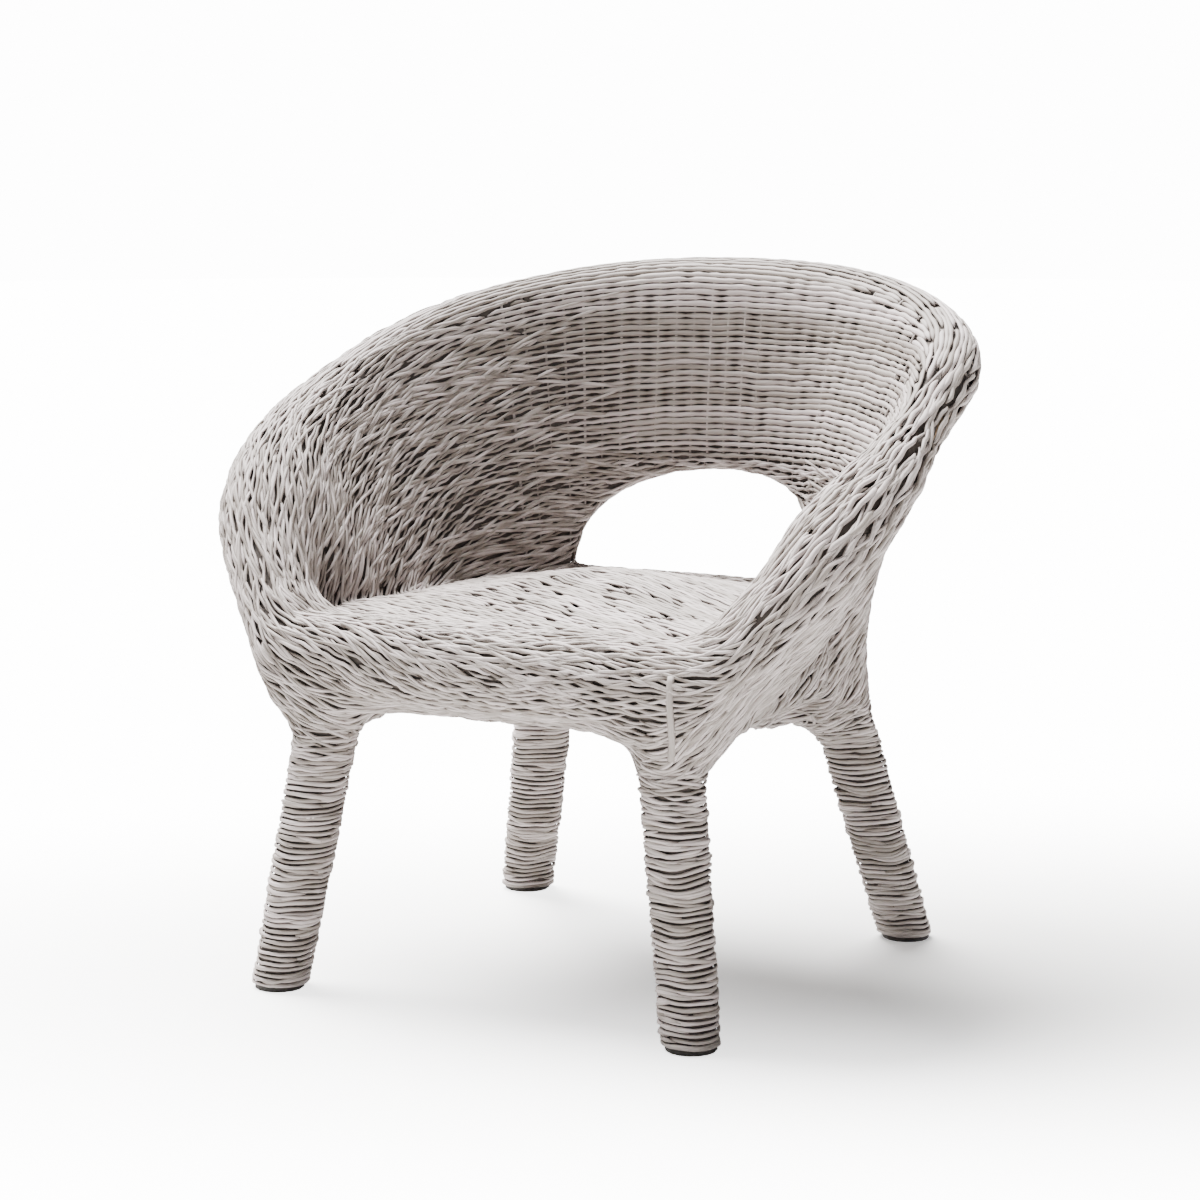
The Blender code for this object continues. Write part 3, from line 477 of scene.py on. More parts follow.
fillet = form.vertex_groups.new(name="fillet")
for vertex in form.data.vertices:
    z = vertex.co.z
    if FILLET_LOW < z < FILLET_HIGH:
        near = ease((0.105 - leg_distance(vertex.co)) / 0.04)
        near = near * ease((z - FILLET_LOW) / 0.03) * ease((FILLET_HIGH - z) / 0.03)
        fillet.add([vertex.index], near, "REPLACE")
    angle = abs(math.degrees(math.atan2(vertex.co.x, vertex.co.y - SEAT_Y)))
    off = abs(angle - REAR_ROLL_END)
    if off < ROLL_REACH and ROLL_LOW < z < ROLL_HIGH:
        beside = ease((ROLL_REACH - off) / 3)
        beside = beside * ease((z - ROLL_LOW) / 0.01) * ease((ROLL_HIGH - z) / 0.02)
        fillet.add([vertex.index], beside, "ADD")
for name, group, times in (("round", "", 5), ("fillets", "fillet", 14)):
    step = form.modifiers.new(name, "SMOOTH")
    step.factor = 0.5
    step.iterations = times
    step.vertex_group = group
    bpy.ops.object.modifier_apply(modifier=step.name)
print("form:", len(form.data.vertices), "points")

# %% [markdown]
# ## Which way the canes run
# Real canes follow the body, so each point of the form gets a direction. Guide curves drawn by hand
# could give it, but rules by place need no drawing and reach every point. First the form's points,
# normals and edges are read into arrays, with what the rules ask for: the angle, the reach, and how
# far each point is from the rim and from the seat's edge.

# %% The form as arrays
count = len(form.data.vertices)
spots = np.empty(count * 3)
form.data.vertices.foreach_get("co", spots)
spots = spots.reshape(-1, 3)
ups = np.empty(count * 3)
form.data.vertices.foreach_get("normal", ups)
ups = ups.reshape(-1, 3)
edges = np.empty(len(form.data.edges) * 2, int)
form.data.edges.foreach_get("vertices", edges)
edges = edges.reshape(-1, 2)

rel_y = spots[:, 1] - SEAT_Y
turns = np.arctan2(spots[:, 0], rel_y)
reach = np.hypot(spots[:, 0], rel_y)
outward = np.stack([np.sin(turns), np.cos(turns), np.zeros(count)], 1)
facing_out = (ups * outward).sum(1)
steps = np.radians(np.arange(-180, 181, 1.0))
rim_points = np.array([at(a, *rim(a)[:2]) for a in steps])
rim_runs = np.gradient(rim_points, axis=0)
rim_run = np.stack([np.interp(turns, steps, rim_runs[:, k]) for k in range(3)], 1)
deck_reach = np.interp(turns, steps, [deck_edge(a) for a in steps])
rim_z = np.interp(turns, steps, [rim(a)[1] for a in steps])
roll_size = np.interp(turns, steps, [rim(a)[2] for a in steps])
rim_reach = np.interp(turns, steps, [rim(a)[0] for a in steps])
print("form has", count, "points and", len(edges), "edges")

# %% [markdown]
# Now the rules. On the back and arms, canes run along the rim. On the inner wall at the sitter's left
# they stay level, so they meet the rim at a slant. On the seat they run slightly askew. On the front
# roll they are level, and come down from the arm at the sitter's right. On the outer sides they climb
# towards the back, the steeper the further forward. The rear roll is level, and canes go round the
# legs. A weight says how firmly each rule holds: hardly at all where the legs run into the body.

# %% Wanted directions
flow = rim_run.copy()
hold = np.full(count, 3.0)
angle = np.degrees(turns)
level = (angle > 0) & (angle < 100) & (reach < rim_reach - roll_size * 0.55) & (spots[:, 2] > 0.42)
flow[level] = np.stack([np.cos(turns), -np.sin(turns), np.zeros(count)], 1)[level]
deck = (reach < deck_reach - 0.006) & (ups[:, 2] > 0.4) & (spots[:, 2] > 0.40)
flow[deck] = (0.93, -0.36, 0)
front = (np.abs(angle) > 132) & ~deck & (spots[:, 2] > 0.28)
falling = 0.62 * np.clip((0.13 - spots[:, 0]) / 0.38, 0, 1) ** 1.4
flow[front] = np.stack([np.ones(count), np.zeros(count), -falling], 1)[front]
panel = (np.abs(angle) > 30) & (angle > -122) & (angle < 139) & (spots[:, 2] < rim_z - roll_size * 0.7)
panel &= (reach > deck_reach + 0.012) & (facing_out > -0.2) & (spots[:, 2] > 0.275)
sideways = np.stack([np.cos(turns), -np.sin(turns), np.zeros(count)], 1) * -np.sign(angle)[:, None]
steep = np.interp(np.abs(angle), [30, 52, 90, 130], [0.0, 0.85, 0.85, 1.25])
flow[panel] = (sideways + np.array([0, 0, 1.0]) * steep[:, None])[panel]
rear = (np.abs(angle) < 36) & (spots[:, 2] < 0.42) & ~deck
flow[rear] = (1, 0, 0)
legs_near = np.full(count, 9.0)
for leg in LEGS:
    middles = np.array([leg_middle(leg, z) for z in spots[:, 2]])
    away = spots - middles
    apart = np.hypot(away[:, 0], away[:, 1])
    on_leg = (apart < legs_near) & (apart < 0.075) & (spots[:, 2] < 0.285)
    flow[on_leg] = np.stack([-away[:, 1], away[:, 0], np.zeros(count)], 1)[on_leg]
    legs_near = np.minimum(legs_near, apart)
loose = (legs_near < 0.12) & (spots[:, 2] > 0.25) & (spots[:, 2] < 0.37)
hold[loose] = 0.05
hold[(np.abs(angle) > 112) & (np.abs(angle) < 150) & (spots[:, 2] < 0.425) & ~deck] = 0.08
hold[deck & (rel_y < -0.13)] = 0.15
hold[panel] = 1.5
print("on the seat", int(deck.sum()), "points, on the outer sides", int(panel.sum()))

# %% [markdown]
# Averaging each direction with its neighbours many times bends one flow into the next. A cane has no
# front or back end, so a neighbour that points the other way is turned round before it is added.

# %% Smooth the directions
SMOOTHINGS = 60


def flat_unit(vectors):
    vectors = vectors - ups * (vectors * ups).sum(1)[:, None]
    return vectors / np.maximum(np.linalg.norm(vectors, axis=1), 1e-9)[:, None]


wanted = flat_unit(flow)
flow = wanted.copy()
for _ in range(SMOOTHINGS):
    one, two = edges[:, 0], edges[:, 1]
    same = np.sign((flow[one] * flow[two]).sum(1))[:, None]
    total = wanted * (np.sign((wanted * flow).sum(1)) * hold)[:, None]
    for k in range(3):
        total[:, k] += np.bincount(one, (flow[two] * same)[:, k], count)
        total[:, k] += np.bincount(two, (flow[one] * same)[:, k], count)
    flow = flat_unit(total)
print("directions set on", count, "points")

# %% [markdown]
# ## Laying the canes
# A cane is traced as a path over the form: take a small step along the flow, drop back onto the surface,
# repeat. A hair system could also comb strands over a surface, but it doesn't know when two lie on top
# of each other. Here a new cane starts only where no cane lies within one spacing, and stops when it
# comes too close to another. That packs the surface evenly, and the canes get the uneven lengths of
# real wicker. To find neighbours quickly, the places taken are kept in small cubes of space.

# %% Places on the form
form_tree = BVHTree.FromObject(form, bpy.context.evaluated_depsgraph_get())
corner_lists = [tuple(face.vertices) for face in form.data.polygons]
flow_rows = [Vector(row) for row in flow]
STEP = 0.004
CELL = 0.006
taken = {}


def on_form(point):
    place, up, face, _ = form_tree.find_nearest(point)
    run = Vector((0, 0, 0))
    lead = flow_rows[corner_lists[face][0]]
    for corner in corner_lists[face]:
        other = flow_rows[corner]
        run += other if other.dot(lead) >= 0 else -other
    return place, up, run


def cell_of(point):
    return int(point.x // CELL), int(point.y // CELL), int(point.z // CELL)


def crowded(point, gap, own):
    x, y, z = cell_of(point)
    for i in (x - 1, x, x + 1):
        for j in (y - 1, y, y + 1):
            for k in (z - 1, z, z + 1):
                for other, name in taken.get((i, j, k), ()):
                    if name != own and (other - point).length_squared < gap * gap:
                        return True
    return False


print("cubes of", CELL * 1000, "mm keep the places taken")

# %% [markdown]
# Canes turn under the lower edge and end there, because the underside's middle isn't woven: the frame
# shows. The test needs only the place and the way the surface faces.

# %% Where the weave ends
SKIRT_REACH = [skirt(abs(a))[0] for a in steps]
TURN_UNDER = 0.016


def hidden_below(place, up):
    """True on the underside, well inside the skirt, where the frame shows instead of canes."""
    if up.z > -0.5 or place.z > 0.40 or place.z < 0.02 or leg_distance(place) < 0.095:
        return False
    angle = math.atan2(place.x, place.y - SEAT_Y)
    return math.hypot(place.x, place.y - SEAT_Y) < np.interp(angle, steps, SKIRT_REACH) - TURN_UNDER


print("canes end", TURN_UNDER * 1000, "mm inside the lower edge")

# %% [markdown]
# A walk follows the flow one way from a seed, strays a little, and ends under the lower edge, at a sharp
# crease, where a leg's windings begin, or beside another cane. A cane is two walks from one seed, and is
# kept if it is long enough.

# %% Tracing along the flow
CREASE = 0.72
LOWEST, LOWEST_SEED = 0.232, 0.238


def walk(seed, heading, longest, gap, own, stray, slant=0.0):
    """One way along the flow from a seed, as (place, up) pairs."""
    found = []
    place, up, run = on_form(seed)
    length = 0.0
    while length < longest:
        run = run if run.dot(heading) >= 0 else -run
        run = (run - up * run.dot(up)).normalized()
        bend = noise.noise(place * 11.0) * stray + slant
        heading = run
        run = (run + up.cross(run) * bend).normalized()
        after, after_up, run = on_form(place + run * STEP)
        if after_up.dot(up) < CREASE or hidden_below(after, after_up) or after.z < LOWEST:
            break
        if gap and crowded(after, gap, own):
            break
        length += (after - place).length
        if (after - place).length < STEP * 0.3:
            break
        place, up = after, after_up
        found.append((place, up))
    return found


canes = []


def lay(seed, longest, spacing, closeness, stray, shortest=0.022, row=0):
    """Trace a cane both ways from a seed and keep it if it is long enough."""
    place, up, run = on_form(seed)
    if hidden_below(place, up) or place.z < LOWEST_SEED or crowded(place, spacing * 0.92, -1):
        return None
    own = len(canes)
    gap = spacing * closeness
    ahead = walk(place, run, longest / 2, gap, own, stray)
    behind = walk(place, -run, longest / 2, gap, own, stray)
    path = behind[::-1] + [(place, up)] + ahead
    if len(path) * STEP < shortest:
        return None
    for spot, _ in path:
        taken.setdefault(cell_of(spot), []).append((spot, own))
    canes.append({"path": path, "row": row})
    return own


print("tracing steps of", STEP * 1000, "mm")

# %% [markdown]
# The weave isn't the same all over. Thicker canes lie on the roll of the sitter's left arm, the back is
# orderly, the seat and the outer sides are fine and calm, and the inner wall at the sitter's right has
# thin canes in deep shade. These could be painted on the form as weights. As functions of the place they
# need no painting, and they stay soft at their borders.

# %% How the weave changes
SPACING = 0.0051
THICK_SPACING = 0.0072


def thick_share(place):
    """1 on the roll of the sitter's left arm, where thicker canes lie, and 0 elsewhere."""
    angle = math.degrees(math.atan2(place.x, place.y - SEAT_Y))
    radius, height, roll = rim(math.radians(angle))
    low = ease((place.z - (height - roll * 0.9)) / 0.02)
    inner = ease((math.hypot(place.x, place.y - SEAT_Y) - radius + roll * 0.55) / 0.02)
    return ease((angle - 58) / 12) * ease((126 - angle) / 10) * low * inner


def spacing_at(place):
    return mix(SPACING, THICK_SPACING, thick_share(place))


def untidy(place):
    """From 0 in the orderly rows of the back to 1 on the arms, sides, seat and front."""
    angle = math.degrees(math.atan2(place.x, place.y - SEAT_Y))
    inside = ease((0.03 + rim(math.radians(angle))[0] - math.hypot(place.x, place.y - SEAT_Y)) / 0.04)
    right = ease((angle - 52) / 26) * (1 - inside) + ease((angle - 78) / 20) * inside
    left = ease((-12 - angle) / 34) * mix(0.55, 1.0, ease((0.70 - place.z) / 0.12))
    low = ease((0.578 - place.z) / 0.05)
    return min(1.0, max(right, left, low))


def calm(place):
    """1 on the seat and on the outer sides, where fine canes lie close and flat, and 0 elsewhere."""
    angle = math.degrees(math.atan2(place.x, place.y - SEAT_Y))
    away = math.hypot(place.x, place.y - SEAT_Y)
    radius, height, roll = rim(math.radians(angle))
    edge = deck_edge(math.radians(angle))
    seat = ease((edge - away) / 0.02) * ease((0.46 - place.z) / 0.02) * ease((place.z - 0.405) / 0.008)
    side = ease((abs(angle) - 46) / 10) * ease((120 - abs(angle)) / 12)
    side *= ease((away - edge) / 0.02) * ease((height - roll * 0.9 - place.z) / 0.03)
    return max(seat, side * ease((away - radius + roll * 1.6) / 0.03))


def sheltered(place):
    """1 on the shaded inner wall at the sitter's right, with thin canes and painted shade, and 0 elsewhere.
    """
    angle = math.atan2(place.x, place.y - SEAT_Y)
    radius, _, roll = rim(angle)
    inside = ease((radius - roll * 0.3 - math.hypot(place.x, place.y - SEAT_Y)) / 0.03)
    return inside * ease((place.z - 0.41) / 0.02) * ease((-math.degrees(angle) - 14) / 30)


middle_of_back = at(0.0, *rim(0.0)[:2])
print("untidy at the middle of the back:", round(untidy(middle_of_back), 2))

# %% [markdown]
# The back is woven in orderly rows, so those go first: one row every few millimetres round the section
# near the middle of the back. Each keeps its row number, which later says where it narrows between two
# stakes.

# %% Rows of the back
ROW = 0.0068
ROW_START = math.radians(6)
section = shell_section(0.0)[:-1]
lengths = np.cumsum([0] + [(b - a).length for a, b in zip(section, section[1:])])
for number in range(int(lengths[-1] / ROW)):
    here = number * ROW
    reach_here = np.interp(here, lengths, [p.x for p in section])
    height_here = np.interp(here, lengths, [p.y for p in section])
    lay(at(ROW_START, reach_here, height_here), chance.uniform(0.55, 1.3), ROW, 0.66, 0.05, row=number)
print("rows of the back:", len(canes))

# %% [markdown]
# The rest of the form is filled from seeds on both sides of the canes already laid, so that new ones lie
# beside old ones as a weaver sets them. When no such seed is left, the middle of each face is tried, in
# a shuffled order, until no gap is wide enough for one more cane.

# %% Fill the rest
order = chance.permutation(len(form.data.polygons))
centres = [form.data.polygons[int(i)].center.copy() for i in order]
queue = list(range(len(canes)))
started = 0
while True:
    if queue:
        parent = canes[queue.pop(0)]
        sides, number = parent["path"], parent["row"] + 1
        seeds = []
        for (a, up), (b, _) in list(zip(sides, sides[1:]))[::3]:
            across = up.cross(b - a).normalized() * spacing_at(a)
            seeds += [a + across, a - across]
    elif started < len(centres):
        seeds, number = [centres[started]], int(chance.integers(2))
        started += 1
    else:
        break
    for seed in seeds:
        wild = untidy(seed)
        spacing = spacing_at(seed)
        stray = mix(0.05, 0.20, wild) * (1 - 0.6 * calm(seed))
        made = lay(seed, chance.uniform(0.16, 0.48), spacing, 0.68, stray, row=number)
        if made is not None:
            queue.append(made)
run_length = sum(len(c["path"]) for c in canes) * STEP
print("canes:", len(canes), "metres:", round(run_length, 1))

# %% [markdown]
# Upright stakes carry the rows of the back. Between two stakes the rows narrow and leave dark dashes.
# Some stakes lie just over the rows and show as thin upright lines, others lie under them. They follow
# the wall's own sections, so no tracing is needed.

# %% Stakes
STAKE_STEP = 0.072
FIRST_STAKE, LAST_STAKE = -12, 17
stakes = []
for number in range(FIRST_STAKE, LAST_STAKE + 1):
    turn = number * STAKE_STEP
    path = []
    for p in shell_section(turn)[1:-2]:
        place, up, _ = on_form(at(turn, p.x, p.y))
        if not path or (place - path[-1][0]).length > STEP:
            path.append((place, up))
    stakes.append({"path": path, "stake": True})
canes += stakes
print("stakes:", len(stakes))

# %% [markdown]
# Wicker is darned as it is worked: loose canes slant across the others, over one and under the next. They
# are most common low on the back, on the inner wall at the sitter's right, and on the arms. They are traced
# like the others, with a steady bend away from the flow, and may cross what already lies there.

# %% Slanting canes
def slanting(seed, longest, slant):
    place, up, run = on_form(seed)
    if hidden_below(place, up) or place.z < 0.27:
        return
    both = [walk(place, way, longest / 2, 0.0, -2, 0.15, slant) for way in (run, -run)]
    path = both[1][::-1] + [(place, up)] + both[0]
    if len(path) * STEP > 0.035:
        canes.append({"path": path, "row": 0, "over": True})


first_layer = len(canes)
for spot in centres[::9]:
    if chance.random() < untidy(spot) ** 2 * 0.34 * (1 - calm(spot)):
        slanting(spot, chance.uniform(0.05, 0.19), chance.uniform(0.10, 0.30) * chance.choice([-1, 1]))
print("slanting canes:", len(canes) - first_layer)

# %% [markdown]
# The legs are wound by hand: turn after turn, with new canes let in as old ones end. Loose turns go over
# the first layer, each a little askew. A screw modifier would give one perfect spiral, which reads as a
# spring, so each length of cane is set by itself, and all waver together.

# %% Windings of the legs
WINDING_LOW, WINDING_TOP = 0.0085, 0.252
LOOSE_TURNS = 46
FULL_TURN = 2 * math.pi
leg_canes = {leg: [] for leg in LEGS}


def wound(leg, low, start, sweep, tilt, lean, climb, lift):
    """A cane round a leg. It wavers with its neighbours and dips against the turns above and below."""
    path = []
    for turn in np.linspace(start, start + sweep, max(4, int(abs(sweep) / 0.18))):
        z = low + climb * (turn - start) / FULL_TURN + tilt * math.sin(turn + lean)
        own_noise = z * 22 + LEGS[leg][0] * 9 + LEGS[leg][1] * 4
        z += 0.0045 * noise.noise(Vector((math.cos(turn) * 1.3, math.sin(turn) * 1.3, own_noise)))
        z = max(z + 0.0010 * math.sin(turn * 8.5), 0.0075)
        middle = leg_middle(leg, z)
        up = Vector((math.cos(turn), math.sin(turn), 0))
        hit, _, _, far = form_tree.ray_cast(middle + up * 0.01, up, 0.08)
        radius = (far + 0.01) if hit and far < 0.06 else leg_radius(z)
        path.append((middle + up * radius, up))
    leg_canes[leg].append({"path": path, "lift": lift})


for leg in LEGS:
    z = WINDING_LOW
    start = chance.uniform(0, 6.28)
    wound(leg, 0.0080, start, 2.2 * math.pi, 0, 0, 0, 0.0006)
    while z < WINDING_TOP:
        turns_now = chance.uniform(0.8, 1.9)
        climb = chance.uniform(0.0055, 0.0061)
        tilt = chance.uniform(-0.0008, 0.0008)
        lean, lift = chance.uniform(0, 6.28), chance.uniform(-0.0005, 0.0006)
        wound(leg, z, start, turns_now * FULL_TURN, tilt, lean, climb, lift)
        z += climb * turns_now
        start += turns_now * FULL_TURN - 0.30
    for _ in range(LOOSE_TURNS):
        low, sweep = chance.uniform(0.012, 0.240), chance.uniform(1.2, 3.4)
        tilt, climb = chance.uniform(-0.007, 0.007), chance.uniform(-0.005, 0.005)
        lean, lift = chance.uniform(0, 6.28), chance.uniform(0.0006, 0.0018)
        wound(leg, low, chance.uniform(0, 6.28), sweep, tilt, lean, climb, lift)
print("leg canes:", sum(len(v) for v in leg_canes.values()))

# %% [markdown]
# ## From paths to canes
# A cane is a slim flattened tube. A bevelled curve would give a tube of even width. Here each ring of
# points is set on its own, so that a cane can wave, its ends can dive under their neighbours, and it can
# narrow where it dips. Three attributes go with it for the material: a tint for the whole cane, a painted
# shade for each point, darker where it dips or lies in shade, and a place along and round the cane.

# %% A cane's mesh
# Painted shade on each cane's sides and underside, as if its neighbours shaded them; the top stays light.
PAINTED_EDGE_SHADE = np.array([0.42, 0.0, 0.0, 0.42, 1.0])
PROFILE = np.array([(-0.5, 0.0), (-0.26, 0.44), (0.26, 0.44), (0.5, 0.0), (0.0, -0.5)])
SIDES = len(PROFILE)


def evened(path, gap):
    """The path smoothed and re-spaced, as arrays of places and ups."""
    places = np.array([p for p, _ in path])
    ups_here = np.array([u for _, u in path])
    for _ in range(3):
        places[1:-1] = places[1:-1] * 0.5 + (places[:-2] + places[2:]) * 0.25
        ups_here[1:-1] = ups_here[1:-1] * 0.5 + (ups_here[:-2] + ups_here[2:]) * 0.25
    run = np.concatenate([[0], np.cumsum(np.linalg.norm(np.diff(places, axis=0), axis=1))])
    count = max(3, int(run[-1] / gap) + 1)
    marks = np.linspace(0, run[-1], count)
    places = np.stack([np.interp(marks, run, places[:, k]) for k in range(3)], 1)
    ups_here = np.stack([np.interp(marks, run, ups_here[:, k]) for k in range(3)], 1)
    ups_here /= np.linalg.norm(ups_here, axis=1)[:, None]
    return places, ups_here, marks


def cane_mesh(places, ups_here, marks, width, thick, lift, sway, dip):
    """Points of one cane, ring by ring. Width, lift, sway and painted shade are given point by point."""
    along = np.gradient(places, axis=0)
    along /= np.linalg.norm(along, axis=1)[:, None]
    across = np.cross(ups_here, along)
    middles = places + ups_here * lift[:, None] + across * sway[:, None]
    shape = PROFILE[None, :, :] * np.stack([width, thick], 1)[:, None, :]
    rings = middles[:, None, :] + across[:, None, :] * shape[:, :, :1]
    rings = rings + ups_here[:, None, :] * shape[:, :, 1:]
    tint, seed = chance.random(), chance.random() * 50
    return {"rings": rings, "marks": marks, "dip": dip, "tint": tint, "seed": seed}


def ends_of(marks, reach):
    """1 along a cane, falling to 0 over a short reach at both ends."""
    return np.clip(np.minimum(marks, marks[-1] - marks) / reach, 0, 1)


print("profile of", SIDES, "sides")

# %% [markdown]
# A cane of the body behaves by its place. In the orderly rows it narrows and sinks between two stakes,
# which opens the dark dashes, and painted shade darkens it there. Elsewhere it sways in step with its
# neighbours, so that they part and meet again in small lens shapes. On the calm seat and sides it is wide
# and still, in the shade it is thin and gets painted shade, and on the thick roll it gets painted shade too.
# One function mixes these, so that no border shows between them.

# %% Canes of the body
LENS = 0.027


def woven(cane):
    """A cane of the body, waving by its row and by how untidy its place is."""
    places, ups_here, marks = evened(cane["path"], 0.0055)
    angles = np.arctan2(places[:, 0], places[:, 1] - SEAT_Y)
    wild = np.array([untidy(Vector(p)) for p in places])
    thicker = np.array([thick_share(Vector(p)) for p in places])
    wave = chance.uniform(0.050, 0.110)
    loose_wave = np.sin(marks / wave * 2 * math.pi + chance.uniform(0, 6.28))
    spans = angles / STAKE_STEP
    between = 0.5 - 0.5 * np.cos(spans * 2 * math.pi)
    gaps = [noise.noise(Vector((math.floor(s) * 3.7, cane["row"] * 5.3, 0.5))) for s in spans]
    open_share = between * np.clip(0.50 + 1.3 * np.array(gaps), 0.0, 1.2)
    still = np.array([calm(Vector(p)) for p in places])
    loose_height = loose_wave * (chance.uniform(0.0003, 0.0010) * (1 - 0.6 * still) + 0.0012 * thicker)
    ends = ends_of(marks, 0.011)
    shade = np.array([sheltered(Vector(p)) for p in places])
    on_top = (places[:, 2] < 0.45) & (np.hypot(places[:, 0], places[:, 1] - SEAT_Y) < 0.30)
    measure = np.where(on_top, places[:, 0], angles * 0.36)
    lens = np.sin(measure / LENS * 2 * math.pi + math.pi * cane["row"])
    meet = np.cos(measure / LENS * 2 * math.pi + math.pi * cane["row"])
    lift = mix(0.0008, -0.0006, open_share) * (1 - wild) + (loose_height + 0.0004 * meet) * wild
    lift += chance.uniform(-0.0004, 0.0006) + 0.001 * thicker - 0.0026 * (1 - ends) ** 2
    sway = wild * (0.0005 + 0.0012 * thicker) * np.sin(marks / wave * 4.3 + chance.uniform(0, 6.28))
    sway += wild * lens * (0.0009 - 0.0006 * still)
    waver = np.array([noise.noise(Vector(p) * 38 + Vector((0, 0, cane["row"] * 0.37))) for p in places])
    sway += (1 - wild) * 0.0014 * waver
    up_share = (1 - open_share) * (1 - wild) + (0.5 + 0.5 * loose_wave) * wild
    tidy_width = mix(0.0068, 0.0043, open_share) * chance.uniform(0.9, 1.08)
    wild_width = (mix(0.0035, 0.0045, up_share) + 0.0012 * still) * (1 + 0.42 * thicker)
    wild_width = wild_width * chance.uniform(0.88, 1.10) * (1 - 0.10 * shade)
    lumps = 1 + 0.12 * np.sin(marks / chance.uniform(0.009, 0.016) + chance.uniform(0, 6.28))
    width = mix(tidy_width, wild_width * lumps, wild) * (0.40 + 0.60 * ends)
    thick = mix(0.0034, 0.0038, wild) * (1 + 0.4 * thicker) * (0.6 + 0.4 * ends)
    # Painted shade: darker where the cane sinks between stakes, less on calm places, more on the shaded
    # wall, on the thick roll and at the ends.
    dip = np.clip(1.0 - up_share * 1.6, 0, 1) * mix(0.6, 0.5, wild) * (1 - 0.5 * still)
    dip = dip + 0.6 * shade + 0.25 * thicker
    return cane_mesh(places, ups_here, marks, width, thick, lift, sway, np.maximum(dip, 0.8 - ends))


print("parted canes meet again every", LENS * 1000, "mm")

# %% [markdown]
# Crossing canes, stakes and the canes of the legs are simpler: a slanting cane rides over the others and
# dips between them, a stake sinks away where the weave gets untidy, and a leg's cane ripples a little.

# %% Crossing canes, stakes and leg canes
RING_GAP, LEG_RING_GAP = 0.0068, 0.0062
STAKE_WIDTH = 0.0030


def crossing(cane):
    """A slim cane over the others, that dips between them."""
    places, ups_here, marks = evened(cane["path"], RING_GAP)
    wave = np.sin(marks / chance.uniform(0.035, 0.075) * 2 * math.pi + chance.uniform(0, 6.28))
    ends = ends_of(marks, 0.014)
    lift = 0.0008 + 0.0012 * wave - 0.0036 * (1 - ends) ** 2
    width = chance.uniform(0.0032, 0.0042) * (0.45 + 0.55 * ends)
    thick = np.full(len(marks), 0.0034)
    # Painted shade: darker where the cane dips between the others and towards its ends.
    dip = np.maximum(0.4 - wave, 0.8 - ends).clip(0, 1)
    return cane_mesh(places, ups_here, marks, width, thick, lift, wave * 0, dip)


def upright(cane):
    """A stake, just below the rows, that sinks away where the weave is untidy."""
    places, ups_here, marks = evened(cane["path"], RING_GAP)
    wild = np.array([untidy(Vector(p)) for p in places])
    flat = np.ones(len(marks))
    over = chance.choice([-0.0008, -0.0002, 0.0007])
    width = flat * STAKE_WIDTH
    return cane_mesh(places, ups_here, marks, width, width, over - 0.004 * wild, flat * 0, 0.15 * flat)


def wrapped(cane):
    """A cane of a leg."""
    places, ups_here, marks = evened(cane["path"], LEG_RING_GAP)
    ends = ends_of(marks, 0.012)
    ripple = np.sin(marks / chance.uniform(0.05, 0.11) * 6.28 + chance.uniform(0, 6.28))
    lift = cane["lift"] + 0.0008 * ripple - 0.003 * (1 - ends) ** 2
    width = chance.uniform(0.0042, 0.0050) * (0.5 + 0.5 * ends)
    width = width * (1 + 0.16 * np.sin(marks / 0.0125 + chance.uniform(0, 6.28)))
    thick = np.full(len(marks), 0.0042)
    # Painted shade: darker in the ripple's hollows and towards the ends.
    dip = np.maximum(np.clip(-ripple * 0.5, 0, 1), 1 - ends)
    return cane_mesh(places, ups_here, marks, width, thick, lift, ripple * 0, dip)


print("rings of a cane lie up to", RING_GAP * 1000, "mm apart")

# %% [markdown]
# A picture of the finish can be painted on the canes if each has its own place in a flat map. The unwrap
# operator would cut thousands of thin tubes at random. A cane is a strip, so it is laid out directly: along
# a shelf of the map by its length, and across the shelf by its girth.

# %% Strips on shelves
SHELF_HEIGHT, STRIP_GAP = 0.012, 0.003


def lay_out(mesh, strips):
    """Strips on shelves in the unit square: each cane along a shelf, its girth across it."""
    total = sum(length for _, length in strips) * 1.06
    shelves = max(1, math.ceil(math.sqrt(total / SHELF_HEIGHT)))
    shelf_length = max(total / shelves * 1.08, max(length for _, length in strips) * 1.02)
    shelf, here = 0, 0.0
    coords, cap_coords, places = [], [], []
    for _, length in strips:
        if here + length > shelf_length:
            shelf, here = shelf + 1, 0.0
        places.append((shelf, here))
        here += length + STRIP_GAP
    shelves = shelf + 1
    for (count, length), (shelf, here) in zip(strips, places):
        u = (here + np.linspace(0, length, count)) / shelf_length
        v = (shelf + 0.05 + 0.9 * np.arange(SIDES + 1) / SIDES) / shelves
        rows = np.arange(count - 1)[:, None]
        ring = np.arange(SIDES)
        corners = [(rows, ring), (rows, ring + 1), (rows + 1, ring + 1), (rows + 1, ring)]
        face = [np.stack(np.broadcast_arrays(u[r], v[c]), 2) for r, c in corners]
        coords.append(np.stack(face, 2).reshape(-1, 2))
        for end, order in ((0, ring[::-1]), (count - 1, ring)):
            cap_coords.append(np.stack([np.full(SIDES, u[end]), v[order]], 1))
    coords = np.concatenate(coords + cap_coords)
    layer = mesh.uv_layers.new(name="OFBake")
    layer.data.foreach_set("uv", coords.ravel().astype(np.float32))


print("strips lie", STRIP_GAP * 1000, "mm apart on their shelves")

# %% [markdown]
# Canes of one region become one object. Joining thousands of objects would take minutes, so the rings of
# all its canes are written into one mesh at once: quads along each cane, and a cap on each end.

